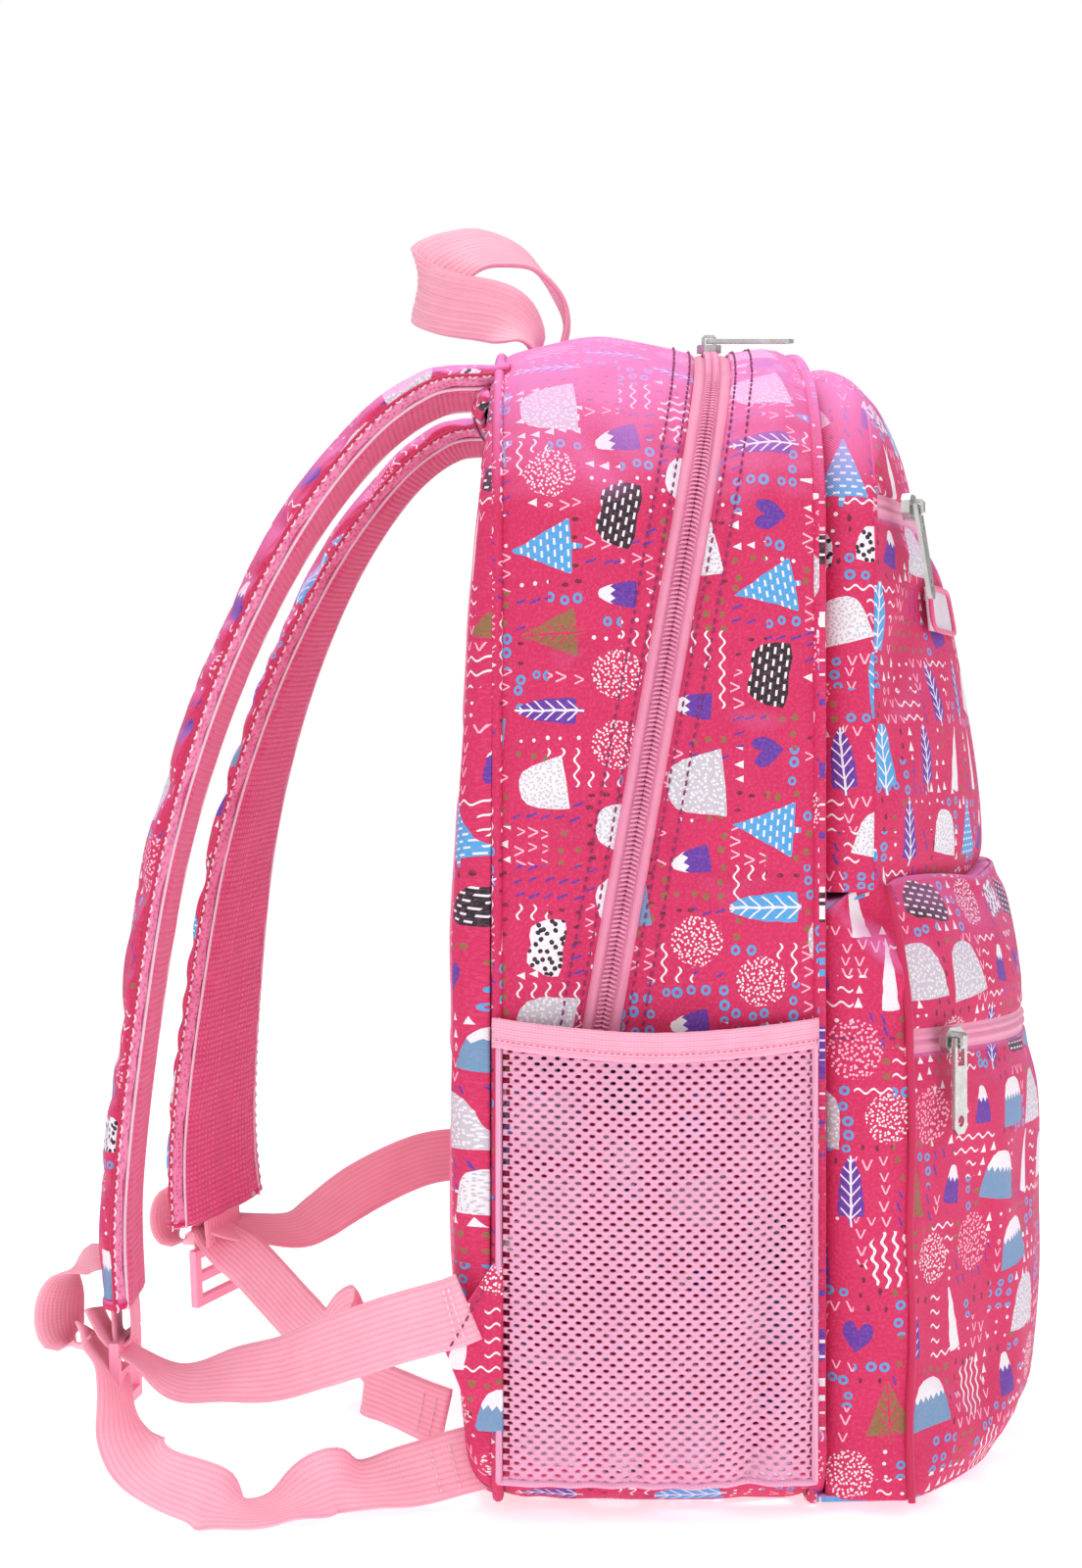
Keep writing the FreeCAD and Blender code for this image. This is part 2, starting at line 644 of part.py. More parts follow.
def slider(label):
    """Slider: a plate over the teeth with a bridge. Local X runs along the zip, Z away from the bag."""
    body = new_body(label)
    plate = new_sketch(body, label + "_plate", "XY_Plane")
    length, width = "(slider_length/2)", "(slider_width/2)"
    nose = "(slider_width/4)"
    add_loop(plate, [
        (f"-{length}", f"-{nose}"), (f"-{length} + {nose}", f"-{width}"), (f"{length} - {nose}", f"-{width}"),
        (length, f"-{nose}"), (length, nose), (f"{length} - {nose}", width), (f"-{length} + {nose}", width),
        (f"-{length}", nose)])
    pad(body, plate, "slider_height")
    bridge = new_sketch(body, label + "_bridge", "YZ_Plane", "-bridge_width/2")
    floor, top = "slider_height/2", "slider_height + bridge_height"
    opening = "(pull_pin_radius + 0.9)"
    outer = f"({opening} + 1.2)"
    add_loop(bridge, [
        (f"-{outer}", floor), (outer, floor), (outer, f"{top} - 1"), (f"{outer} - 1", top), (f"1 - {outer}", top),
        (f"-{outer}", f"{top} - 1")])
    add_loop(bridge, [
        (f"-{opening}", "slider_height"), (opening, "slider_height"), (opening, f"{top} - 1.1"),
        (f"-{opening}", f"{top} - 1.1")])
    pad(body, bridge, "bridge_width")
    return body


def pull(label):
    """Pull: pin under the bridge, two arms and a slotted tab. The pin's centre is the local origin."""
    body = new_body(label)
    plate = new_sketch(body, label + "_plate", "XY_Plane", "-pull_thickness/2")
    half, length = "(pull_width/2)", "pull_length"
    reach = "(pull_pin_radius + 0.2)"
    tip = "(pull_width/4)"
    add_loop(plate, [
        (f"-{half}", f"-{length} + {tip}"), (f"-{half} + {tip}", f"-{length}"), (f"{half} - {tip}", f"-{length}"),
        (half, f"-{length} + {tip}"), (half, reach), (f"-{half}", reach)])
    inside = "(pull_width/2 - 1.8)"
    add_loop(plate, [
        (f"-{inside}", "-9"), (inside, "-9"), (inside, f"-{reach}"), (f"-{inside}", f"-{reach}")])
    add_circle(plate, "0", "-pull_length + pull_width/2 + 0.6", "pull_width/4")
    pad(body, plate, "pull_thickness")
    return body


def place_zip_pull(name, origin, along, outward, tilt=0.0):
    """Puts a slider on its zip and its pull on the slider, the pull's tip tilted away from the bag."""
    spin = FreeCAD.Rotation(along, outward.cross(along), outward, "ZXY")
    body = slider(name)
    body.Placement = FreeCAD.Placement(origin, spin)
    pin = origin + outward * size("slider_height + bridge_height/2 - 0.4")
    hung = pull(name + "_pull")
    hung.Placement = FreeCAD.Placement(pin, spin.multiply(FreeCAD.Rotation(Vector(1, 0, 0), -tilt)))


def zip_pulls():
    height = size("bag_height - arch_radius")
    lift = size("arch_radius - fabric + tape_thickness + coil_height + 2*gap")
    slope = size(ZIP_SLOPE)
    for name, side in (("main_slider_left", -1), ("main_slider_right", 1)):
        angle = side * math.radians(size("main_slider_angle"))
        outward = Vector(math.sin(angle), 0, math.cos(angle))
        origin = Vector(0, 0, height) + outward * lift
        origin.y = size(zip_line("bag_height")) - slope * (size("bag_height") - origin.z)
        place_zip_pull(name, origin, Vector(math.cos(angle), 0, -math.sin(angle)), outward)
    rise = size(lens_rise("upper_zip_height"))
    pockets = (
        ("upper_slider", size(UPPER_SEAM), size("upper_lens_half"), rise, "upper_slider_angle", "upper_zip_height",
         size("upper_pull_tilt"), size("upper_slider_lift")),
        ("lower_slider", size(LOWER_SEAM), size("lower_half"), size("lower_bulge"), "lower_slider_angle",
         "lower_zip_height", 0.0, 0.0),
    )
    for name, seam, half, bulge, angle_cell, height_cell, tilt, lift in pockets:
        radius = (half**2 + bulge**2) / (2 * bulge)
        proud = size("tape_thickness + coil_height + 3*gap") + lift
        centre_y = seam - bulge + radius
        angle = math.radians(size(angle_cell))
        outward = Vector(-math.sin(angle), -math.cos(angle), 0)
        origin = Vector(0, centre_y, size(height_cell)) + outward * (radius + proud)
        place_zip_pull(name, origin, Vector(math.cos(angle), -math.sin(angle), 0), outward, tilt)


# ---------------------------------------------------------------- build, test and write

main_compartment()
back_panel()
strap_yoke()
base_board()
upper_pocket()
label_patch()
lower_pocket()
lower_piping()
mesh_pocket("left", "-")
mesh_pocket("right", "")
for side_name, side_sign in (("left", -1), ("right", 1)):
    strap(side_name, side_sign)
    lock_loop(side_name, side_sign)
    ladder_lock(side_name, side_sign)
    webbing(side_name, side_sign)
    webbing_tab(side_name, side_sign)
grab_handle()
zip_pulls()
doc.recompute()

for item in doc.Objects:
    if "Invalid" in item.State or "Error" in item.State:
        raise RuntimeError(f"{item.Label} failed: {item.State}")

pieces = [item for item in doc.Objects if item.TypeId in ("PartDesign::Body", "Part::Feature")]
for piece in pieces:
    if piece.Shape.isNull() or not piece.Shape.isValid() or not piece.Shape.Solids:
        raise RuntimeError(f"{piece.Label} has no valid solid")

os.makedirs("parts", exist_ok=True)
for piece in pieces:
    piece.Shape.exportStep(f"parts/{piece.Label}.step")
print(len(pieces), "pieces")
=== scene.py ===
import math
import bmesh
import bpy
import numpy as np
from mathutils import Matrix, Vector, noise


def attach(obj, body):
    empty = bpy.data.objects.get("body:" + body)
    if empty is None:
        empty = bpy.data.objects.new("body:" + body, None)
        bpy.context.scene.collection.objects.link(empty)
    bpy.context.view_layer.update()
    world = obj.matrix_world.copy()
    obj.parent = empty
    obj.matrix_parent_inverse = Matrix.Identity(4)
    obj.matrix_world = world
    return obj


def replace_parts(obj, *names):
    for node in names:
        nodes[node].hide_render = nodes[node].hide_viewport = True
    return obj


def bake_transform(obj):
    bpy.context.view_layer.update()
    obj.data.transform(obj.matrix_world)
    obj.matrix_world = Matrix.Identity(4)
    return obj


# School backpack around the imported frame, in metres. +Z is up, -Y the front with the pockets, +Y the wearer's
# side, -X the wearer's left. Every soft piece carries a point attribute "cloth": metres along the fabric.

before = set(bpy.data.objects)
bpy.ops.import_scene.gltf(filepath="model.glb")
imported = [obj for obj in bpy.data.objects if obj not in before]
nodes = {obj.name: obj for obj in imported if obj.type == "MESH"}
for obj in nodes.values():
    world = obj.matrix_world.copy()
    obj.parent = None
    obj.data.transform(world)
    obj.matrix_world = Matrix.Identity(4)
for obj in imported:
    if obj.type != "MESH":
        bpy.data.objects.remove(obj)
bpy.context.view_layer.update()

HALF, TOP = 0.145, 0.424
ARCH_RADIUS, CORNER_RADIUS, FOOT_RADIUS = 0.26, 0.07, 0.03
ARCH_Z = TOP - ARCH_RADIUS
CORNER_X = HALF - CORNER_RADIUS
CORNER_Z = ARCH_Z + math.sqrt((ARCH_RADIUS - CORNER_RADIUS) ** 2 - CORNER_X**2)
SHOULDER = math.atan2(CORNER_X, CORNER_Z - ARCH_Z)
REAR, FRONT = 0.055, -0.056
ZIP_FOOT = 0.165
ZIP_SLOPE = -0.046 / (TOP - ZIP_FOOT)
TAPE_HALF = 0.006
UPPER_BACK, UPPER_SEAM = -0.0586, -0.0786
LOWER_SEAM = -0.0886
UPPER_INSET, UPPER_FOOT = 0.008, 0.216
UPPER_ZIP, LOWER_ZIP, POCKET_TAPE_HALF = 0.352, 0.164, 0.0042
SIDE_SIGNS = (("left", -1), ("right", 1))


def zip_y(height):
    """The main zip leans: its place from front to back at a height."""
    return 0.020 + ZIP_SLOPE * (height - ZIP_FOOT)


# ---------------------------------------------------------------- shader formulas


class Wire:
    """A shader value that can be used in a formula."""

    def __init__(self, graph, socket):
        self.graph = graph
        self.socket = socket

    def __add__(self, other):
        return self.graph.math("ADD", self, other)

    def __sub__(self, other):
        return self.graph.math("SUBTRACT", self, other)

    def __rsub__(self, other):
        return self.graph.math("SUBTRACT", other, self)

    def __mul__(self, other):
        return self.graph.math("MULTIPLY", self, other)

    def __truediv__(self, other):
        return self.graph.math("DIVIDE", self, other)

    def __lt__(self, other):
        return self.graph.math("LESS_THAN", self, other)

    def __gt__(self, other):
        return self.graph.math("GREATER_THAN", self, other)

    def __abs__(self):
        return self.graph.math("ABSOLUTE", self)

    def floor(self):
        return self.graph.math("FLOOR", self)

    def frac(self):
        return self.graph.math("FRACT", self)

    def sin(self):
        return self.graph.math("SINE", self)

    def odd(self):
        return self.graph.math("FLOORED_MODULO", self, 2.0)

    def near(self, other, reach):
        return abs(self - other) < reach

    __radd__ = __add__
    __rmul__ = __mul__


class Graph:
    """One material's node tree."""

    def __init__(self, name):
        self.material = bpy.data.materials.new(name)
        self.material.use_nodes = True
        self.nodes = self.material.node_tree.nodes
        self.links = self.material.node_tree.links
        self.skin = self.nodes["Principled BSDF"]

    def plug(self, socket, value):
        if isinstance(value, Wire):
            self.links.new(value.socket, socket)
        else:
            socket.default_value = value

    def node(self, kind, output=0, settings=None, **inputs):
        node = self.nodes.new(kind)
        for key, value in (settings or {}).items():
            setattr(node, key, value)
        for key, value in inputs.items():
            self.plug(node.inputs[key], value)
        return Wire(self, node.outputs[output])

    def math(self, operation, *values):
        node = self.nodes.new("ShaderNodeMath")
        node.operation = operation
        for socket, value in zip(node.inputs, values):
            self.plug(socket, value)
        return Wire(self, node.outputs[0])

    def hypot(self, x, y):
        return self.math("SQRT", x * x + y * y)

    def join(self, x, y, z=0.0):
        return self.node("ShaderNodeCombineXYZ", X=x, Y=y, Z=z)

    def split(self, vector):
        node = self.nodes.new("ShaderNodeSeparateXYZ")
        self.plug(node.inputs[0], vector)
        return [Wire(self, socket) for socket in node.outputs]

    def cloth(self, flat):
        """Fabric coordinates in metres; CAD parts use their own position instead."""
        if flat:
            return self.node("ShaderNodeTexCoord", "Object")
        return self.node("ShaderNodeAttribute", "Vector", {"attribute_name": "cloth"})

    def chance(self, x, y, seed):
        """Random numbers of one grid cell: a value and three more."""
        node = self.nodes.new("ShaderNodeTexWhiteNoise")
        node.noise_dimensions = "3D"
        self.plug(node.inputs["Vector"], self.join(x, y, seed))
        return [Wire(self, node.outputs["Value"])] + self.split(Wire(self, node.outputs["Color"]))

    def cloud(self, vector, scale, detail=2.0):
        return self.node("ShaderNodeTexNoise", 0, None, Vector=vector, Scale=scale, Detail=detail)

    def speckle(self, vector, scale):
        flat = {"voronoi_dimensions": "2D"}
        return self.node("ShaderNodeTexVoronoi", "Distance", flat, Vector=vector, Scale=scale)

    def mix(self, factor, first, second):
        node = self.nodes.new("ShaderNodeMix")
        node.data_type = "RGBA"
        self.plug(node.inputs[0], factor)
        self.plug(node.inputs[6], first)
        self.plug(node.inputs[7], second)
        return Wire(self, node.outputs[2])

    def steps(self, colours, position):
        """The colour whose share of 0..1 holds the position; also that colour's alpha."""
        node = self.nodes.new("ShaderNodeValToRGB")
        node.color_ramp.interpolation = "CONSTANT"
        elements = node.color_ramp.elements
        elements.remove(elements[1])
        for number, colour in enumerate(colours):
            stop = elements[0] if number == 0 else elements.new(number / len(colours))
            stop.color = colour
        self.plug(node.inputs[0], position)
        return Wire(self, node.outputs[0]), Wire(self, node.outputs[1])

    def curve(self, points, position):
        node = self.nodes.new("ShaderNodeFloatCurve")
        line = node.mapping.curves[0]
        line.points[0].location = points[0]
        line.points[1].location = points[-1]
        for point in points[1:-1]:
            line.points.new(*point)
        for point in line.points:
            point.handle_type = "VECTOR"
        node.mapping.update()
        self.plug(node.inputs["Value"], position)
        return Wire(self, node.outputs[0])

    def finish(self, colour, roughness, height=None, depth=0.0002, sheen=0.0, tint=(1, 1, 1, 1)):
        self.plug(self.skin.inputs["Base Color"], colour)
        self.plug(self.skin.inputs["Roughness"], roughness)
        self.skin.inputs["Sheen Weight"].default_value = sheen
        self.skin.inputs["Sheen Roughness"].default_value = 0.45
        self.skin.inputs["Sheen Tint"].default_value = tint
        if height is not None:
            bump = self.node("ShaderNodeBump", 0, None, Height=height, Distance=depth, Strength=0.8)
            self.links.new(bump.socket, self.skin.inputs["Normal"])
        return self.material


def srgb(red, green, blue, alpha=1.0):
    """Linear colour from the usual 0..255 numbers."""
    values = (value / 255 for value in (red, green, blue))
    return tuple(v / 12.92 if v <= 0.04045 else ((v + 0.055) / 1.055) ** 2.4 for v in values) + (alpha,)


HOT_PINK = srgb(216, 32, 94)
WHITE = srgb(240, 236, 242)
SILVER = srgb(203, 198, 208)
SKY = srgb(70, 165, 225)
PURPLE = srgb(96, 48, 160)
BLACK = srgb(22, 18, 26)
OLIVE = srgb(146, 104, 60)
SLATE = srgb(110, 152, 190)
PALE_PINK = srgb(255, 188, 212)
MAROON = srgb(120, 14, 46)
CLEAR = (0.0, 0.0, 0.0, 0.0)

# ---------------------------------------------------------------- print

# Right half of each symmetric motif, top and bottom lines, in units of 28 mm with the middle at 0
SHAPES = {
    "dome": ([(0, 0.30), (0.12, 0.29), (0.22, 0.23), (0.28, 0.11), (0.32, -0.08), (0.35, -0.29)],
             [(0, -0.30), (0.35, -0.29)]),
    "oval": ([(0, 0.46), (0.06, 0.36), (0.13, 0.18), (0.18, -0.04), (0.19, -0.2), (0.17, -0.31)],
             [(0, -0.45), (0.022, -0.45), (0.023, -0.33), (0.17, -0.31)]),
    "fir": ([(0, 0.40), (0.08, 0.2), (0.2, -0.06), (0.31, -0.29)],
            [(0, -0.42), (0.03, -0.42), (0.031, -0.30), (0.31, -0.29)]),
    "hill": ([(0, 0.26), (0.06, 0.24), (0.12, 0.1), (0.17, -0.1), (0.19, -0.24)],
             [(0, -0.25), (0.19, -0.24)]),
    "spike": ([(0, 0.46), (0.05, 0.15), (0.11, -0.38)], [(0, -0.4), (0.11, -0.38)]),
    "heart": ([(0, 0.06), (0.05, 0.15), (0.11, 0.18), (0.17, 0.13), (0.19, 0.03)],
              [(0, -0.2), (0.12, -0.08), (0.19, 0.03)]),
    "boulder": ([(0, 0.17), (0.1, 0.21), (0.22, 0.2), (0.3, 0.1), (0.35, -0.05), (0.36, -0.2)],
                [(0, -0.22), (0.2, -0.24), (0.36, -0.2)]),
    "disc": ([(0, 0.34), (0.12, 0.31), (0.22, 0.24), (0.3, 0.1), (0.32, 0.0)],
             [(0, -0.32), (0.14, -0.3), (0.25, -0.2), (0.32, 0.0)]),
}
SHAPE_ORDER = list(SHAPES)
OVERLAYS = ["plain", "dashes", "stipple", "branches", "snow", "waves", "spots"]

# What the large motifs are: silhouette, pattern on it, its colour, the pattern's colour
MOTIFS = [
    ("dome", "stipple", SILVER, WHITE), ("oval", "branches", SKY, WHITE),
    ("disc", "stipple", CLEAR, PALE_PINK), ("boulder", "dashes", BLACK, WHITE),
    ("fir", "dashes", SKY, WHITE), ("disc", "waves", CLEAR, WHITE),
    ("hill", "snow", PURPLE, WHITE), ("spike", "plain", WHITE, WHITE),
    ("dome", "snow", SLATE, WHITE), ("heart", "plain", PURPLE, PURPLE),
    ("fir", "branches", OLIVE, HOT_PINK), ("boulder", "spots", WHITE, BLACK),
    ("oval", "branches", PURPLE, WHITE), ("disc", "stipple", CLEAR, WHITE),
    ("dome", "stipple", WHITE, SILVER), ("hill", "snow", PURPLE, WHITE),
]
GLYPH_COLOURS = [WHITE, MAROON, PURPLE, WHITE, SKY, PALE_PINK, OLIVE, WHITE]
CELL_X, CELL_Y, MOTIF_UNIT = 0.0270, 0.0250, 0.028
MOTIF_SHARE, GLYPH_SHARE, GLYPHS_ACROSS = 0.90, 0.94, 5.0


def outline_curve(side):
    """All silhouettes' top or bottom lines one after another, each in its own share of 0..1."""
    outside = float(side)
    points = []
    for number, shape in enumerate(SHAPE_ORDER):
        line = SHAPES[shape][side]
        place = lambda x: (number + 0.06 + 1.8 * x) / len(SHAPE_ORDER)
        points += [(place(x), y + 0.5) for x, y in line]
        points += [(place(line[-1][0] + 0.004), outside), (place(0.51), outside)]
    return [(0.0, points[0][1])] + points + [(1.0, outside)]


def large_motifs(g, x, y):
    """The grid and cell for the small glyphs, then the fill and the pattern, each as colour and strength."""
    grid_y = y / CELL_Y
    row = grid_y.floor()
    grid_x = x / CELL_X + row.odd() * 0.5
    column = grid_x.floor()
    present, slide_x, slide_y, turn = g.chance(column, row, 3.5)
    pick, pick_size, _, _ = g.chance(column, row, 8.5)
    centre_x = (slide_x - 0.5) * 0.12 + 0.5
    centre_y = (slide_y - 0.5) * 0.12 + 0.5
    off_x = (grid_x - column - centre_x) * (CELL_X / MOTIF_UNIT)
    off_y = (grid_y - row - centre_y) * (CELL_Y / MOTIF_UNIT)
    angle = (turn - 0.5) * 0.5
    cosine, sine = g.math("COSINE", angle), angle.sin()
    grow = 0.84 + pick_size * 0.22
    across = (off_x * cosine + off_y * sine) * grow
    up = (off_y * cosine - off_x * sine) * grow
    wobble = g.cloud(g.join(x, y), 180.0, 1.0)
    across = across + (wobble - 0.5) * 0.04
    table = [
        ((SHAPE_ORDER.index(shape) + 0.5) / 8, (OVERLAYS.index(overlay) + 0.5) / 8, 0.0, 1.0)
        for shape, overlay, _, _ in MOTIFS
    ]
    choice, _ = g.steps(table, pick)
    shape, overlay, _ = g.split(choice)
    shape = (shape * 8.0).floor()
    overlay = (overlay * 8.0).floor()
    where = (shape + 0.06 + abs(across) * 1.8) / float(len(SHAPE_ORDER))
    level = up + 0.5
    inside = (level < g.curve(outline_curve(0), where)) * (level > g.curve(outline_curve(1), where))
    inside = inside * (abs(across) < 0.5) * (present < MOTIF_SHARE)
    fill, opacity = g.steps([motif[2] for motif in MOTIFS], pick)
    ink, _ = g.steps([motif[3] for motif in MOTIFS], pick)
    lane = up / 0.075
    brick = across / 0.13 + lane.floor().odd() * 0.5
    dashes = brick.frac().near(0.5, 0.27) * lane.frac().near(0.5, 0.17)
    place = g.join(across, up)
    stipple = g.speckle(place, 21.0) < 0.30
    spots = g.speckle(place, 10.0) < 0.30
    twigs = ((up - abs(across) * 1.1) / 0.14).frac().near(0.5, 0.10) * (abs(across) < 0.12)
    branches = g.math("MAXIMUM", twigs, abs(across) < 0.014)
    snow = up > 0.03 + abs((across / 0.1).frac() - 0.5) * 0.14
    waves = (across / 0.13 + (up * 36.0).sin() * 0.17).frac().near(0.5, 0.14)
    pattern = 0.0
    for number, mask in enumerate((dashes, stipple, branches, snow, waves, spots), 1):
        chosen = mask * overlay.near(float(number), 0.4)
        pattern = chosen if number == 1 else pattern + chosen
    cell = (column, row, centre_x, centre_y, present < MOTIF_SHARE)
    return grid_x, grid_y, cell, fill, inside * opacity, ink, inside * pattern


def small_glyphs(g, grid_x, grid_y, cell):
    """Triangles, seeds, dashes, waves, pebbles and sprouts that fill the gaps between the large motifs."""
    column, row, centre_x, centre_y, present = cell
    near_x = ((grid_x * GLYPHS_ACROSS).floor() + 0.5) / GLYPHS_ACROSS - column - centre_x
    near_y = ((grid_y * GLYPHS_ACROSS).floor() + 0.5) / GLYPHS_ACROSS - row - centre_y
    free = 1.0 - present * (abs(near_x) < 0.36) * (abs(near_y) < 0.38)
    kind, _, _, _ = g.chance((grid_x * 2.0).floor(), (grid_y * 2.0).floor(), 21.5)
    kind = (kind * 8.0).floor()
    own_column, own_row = (grid_x * GLYPHS_ACROSS).floor(), (grid_y * GLYPHS_ACROSS).floor()
    size, drop, nudge_x, nudge_y = g.chance(own_column, own_row, 5.5)
    grow = 1.22 - size * 0.34
    x = ((grid_x * GLYPHS_ACROSS).frac() - 0.5 - (nudge_x - 0.5) * 0.36) * grow
    y = ((grid_y * GLYPHS_ACROSS).frac() - 0.5 - (nudge_y - 0.5) * 0.36) * grow
    reach = g.hypot(x, y)
    masks = (
        (y > -0.3) * (abs(x) < (0.36 - y) * 0.4),
        g.hypot(x / 0.13, y / 0.24) < 1.0,
        (abs(x + y * 0.35) < 0.09) * (abs(y) < 0.36),
        abs((grid_y * GLYPHS_ACROSS).frac() - 0.5 - ((grid_x * 10.0) * math.pi).sin() * 0.16) < 0.08,
        reach.near(0.24, 0.09),
        (abs(abs(x) - (y + 0.36) * 0.42) < 0.06) * (abs(y) < 0.34),
        reach < 0.22,
        reach < 0.13,
    )
    shown = 0.0
    for number, mask in enumerate(masks):
        part = mask * kind.near(float(number), 0.4)
        shown = part if number == 0 else shown + part
    colour, _ = g.steps(GLYPH_COLOURS, (kind + 0.5) / 8.0)
    return colour, shown * free * (drop < GLYPH_SHARE)


def weave_height(x, y, period):
    """Fine diagonal weave."""
    slant = ((x + y) * (2 * math.pi / period)).sin()
    thread = ((x - y) * (2 * math.pi / period)).sin()
    return slant * 0.5 + thread * 0.25


def printed_cloth(name, flat=False):
    """Hot pink cloth with large motifs, small glyphs between them, and a painted lilac highlight where it faces
    up, standing in for the sheen of the top light.
    """
    g = Graph(name)
    where = g.cloth(flat)
    x, y, z = g.split(where)
    if flat:
        y = z
    shade = g.cloud(where, 60.0, 3.0)
    ground = g.mix(shade * 0.55, HOT_PINK, srgb(196, 26, 82))
    grid_x, grid_y, cell, fill, filled, ink, inked = large_motifs(g, x, y)
    glyph, shown = small_glyphs(g, grid_x, grid_y, cell)
    bare = 1.0 - g.math("MAXIMUM", filled, inked)
    colour = g.mix(shown * bare, ground, glyph)
    colour = g.mix(filled, colour, fill)
    colour = g.mix(inked, colour, ink)
    worn = g.cloud(where, 900.0, 2.0)
    colour = g.mix((worn - 0.45) * 0.5, colour, srgb(255, 140, 180))
    # Painted sheen: cloth that faces up is mixed towards lilac, standing in for the sheen the top light gives
    # it.
    facing = g.node("ShaderNodeNewGeometry", "Normal", None)
    _, _, upward = g.split(facing)
    painted_sheen = g.node("ShaderNodeClamp", 0, None, Value=upward * 1.25 - 0.2)
    colour = g.mix(painted_sheen * 0.72, colour, srgb(244, 150, 222))
    height = weave_height(x, y, 0.0011) + shade * 0.4
    roughness = 0.6 + shade * 0.18
    return g.finish(colour, roughness, height, 0.00012, 0.12, srgb(225, 170, 245))


# ---------------------------------------------------------------- plainer materials


def cloth_material(name, colour, deep, pattern, period, rough=0.7, depth=0.0002, sheen=0.25, flat=False):
    """Plain cloth whose threads follow a pattern: ribs, grid, twill, pores or plush. The deep colour is painted
    shade in the low threads and pores, mixed with random tone.
    """
    g = Graph(name)
    where = g.cloth(flat)
    x, y, z = g.split(where)
    if flat:
        y = y + z
    wave_x = (x * (2 * math.pi / period)).sin()
    wave_y = (y * (2 * math.pi / period)).sin()
    height = {
        "ribs": lambda: abs((x * (math.pi / period)).sin()) + abs((y * (math.pi / 0.0012)).sin()) * 0.25,
        "grid": lambda: wave_x * 0.5 + wave_y * 0.5 + wave_x * wave_y * 0.5,
        "twill": lambda: weave_height(x, y, period) + 0.5,
        "pores": lambda: 1.0 - (g.speckle(where, 1.0 / period) < 0.28),
        "plush": lambda: g.cloud(where, 1.0 / period, 3.0),
    }[pattern]()
    shade = g.cloud(where, 90.0, 3.0)
    # Painted shade: the deep colour fills the low threads and pores where the bump is low, mixed with random
    # tone from the cloud.
    groove_shade_and_tone = g.math("MULTIPLY_ADD", height, 0.5, shade * 0.5)
    colour = g.mix(g.node("ShaderNodeClamp", 0, None, Value=groove_shade_and_tone), deep, colour)
    return g.finish(colour, rough + shade * 0.1, height, depth, sheen, (1.0, 0.85, 0.95, 1.0))


def metal_material():
    """Nickel plate with fine scratches and duller patches."""
    g = Graph("nickel")
    where = g.cloth(True)
    scratch = g.cloud(where, 2600.0, 4.0)
    patch = g.cloud(where, 240.0, 2.0)
    g.skin.inputs["Metallic"].default_value = 1.0
    colour = g.mix(patch, srgb(226, 224, 222), srgb(178, 176, 176))
    return g.finish(colour, 0.16 + patch * 0.22, scratch, 0.00004)


def moulded_material(name, colour, deep):
    """Moulded plastic with flow marks and light scuffs."""
    g = Graph(name)
    where = g.cloth(True)
    flow = g.cloud(where, 70.0, 3.0)
    grain = g.cloud(where, 1800.0, 2.0)
    return g.finish(g.mix(flow, colour, deep), 0.3 + flow * 0.2, grain, 0.00004, 0.05)


def thread_material(name, colour, deep):
    """Sewing thread, mottled by its twist."""
    g = Graph(name)
    where = g.cloth(True)
    twist = g.cloud(where, 1500.0, 2.0)
    return g.finish(g.mix(twist, colour, deep), 0.6, twist, 0.00005, 0.2)


PRINT = printed_cloth("printed_cloth")
PRINT_FLAT = printed_cloth("printed_cloth_flat", True)
WEBBING = cloth_material(
    "webbing", srgb(255, 184, 202), srgb(244, 142, 168), "ribs", 0.0021, 0.6, 0.0002, 0.5)
ELASTIC = cloth_material(
    "elastic", srgb(252, 186, 208), srgb(228, 132, 168), "ribs", 0.0009, 0.6, 0.0001, 0.4)
KNIT = cloth_material(
    "knit_mesh", srgb(246, 186, 214), srgb(224, 140, 182), "twill", 0.0008, 0.65, 0.0001, 0.4)
AIR_MESH = cloth_material(
    "air_mesh", srgb(250, 120, 170), srgb(222, 62, 120), "pores", 0.0026, 0.8, 0.0006, 0.3)
GRID_MESH = cloth_material(
    "grid_mesh", srgb(255, 128, 178), srgb(232, 84, 142), "grid", 0.0024, 0.8, 0.0005, 0.3)
EDGE_MESH = cloth_material(
    "edge_mesh", srgb(250, 168, 206), srgb(216, 92, 146), "pores", 0.0022, 0.8, 0.0006, 0.3)
ZIP_TAPE = cloth_material(
    "zip_tape", srgb(250, 170, 200), srgb(234, 128, 168), "twill", 0.0007, 0.55, 0.0001, 0.4)
PIPING = cloth_material(
    "piping", srgb(214, 34, 92), srgb(176, 20, 70), "twill", 0.0009, 0.6, 0.0001, 0.2)
LINING = cloth_material(
    "lining", srgb(240, 140, 180), srgb(214, 104, 150), "twill", 0.0012, 0.7, 0.0001, 0.2, True)
BOARD = cloth_material(
    "board", srgb(150, 150, 156), srgb(120, 120, 128), "plush", 0.004, 0.5, 0.0001, 0.0, True)
PATCH = cloth_material(
    "patch", srgb(240, 232, 240), srgb(206, 190, 206), "twill", 0.0009, 0.6, 0.0001, 0.2)
COIL = moulded_material("coil", srgb(250, 172, 204), srgb(226, 126, 170))
BUCKLE = moulded_material("buckle", srgb(255, 172, 200), srgb(240, 138, 174))
METAL = metal_material()
DARK_THREAD = thread_material("dark_thread", srgb(158, 34, 112), srgb(112, 20, 86))
PINK_THREAD = thread_material("pink_thread", srgb(244, 110, 156), srgb(206, 60, 110))
PALE_THREAD = thread_material("pale_thread", srgb(250, 236, 244), srgb(226, 190, 210))

# ---------------------------------------------------------------- mesh helpers


def length_along(line):
    """How far along a line of points each of them is."""
    return np.concatenate([[0], np.cumsum(np.linalg.norm(np.diff(line, axis=0), axis=1))])


def values_at(places, length, field):
    """A field of columns, read at places along its line."""
    return np.stack([np.interp(places, length, column) for column in field.T], axis=1)


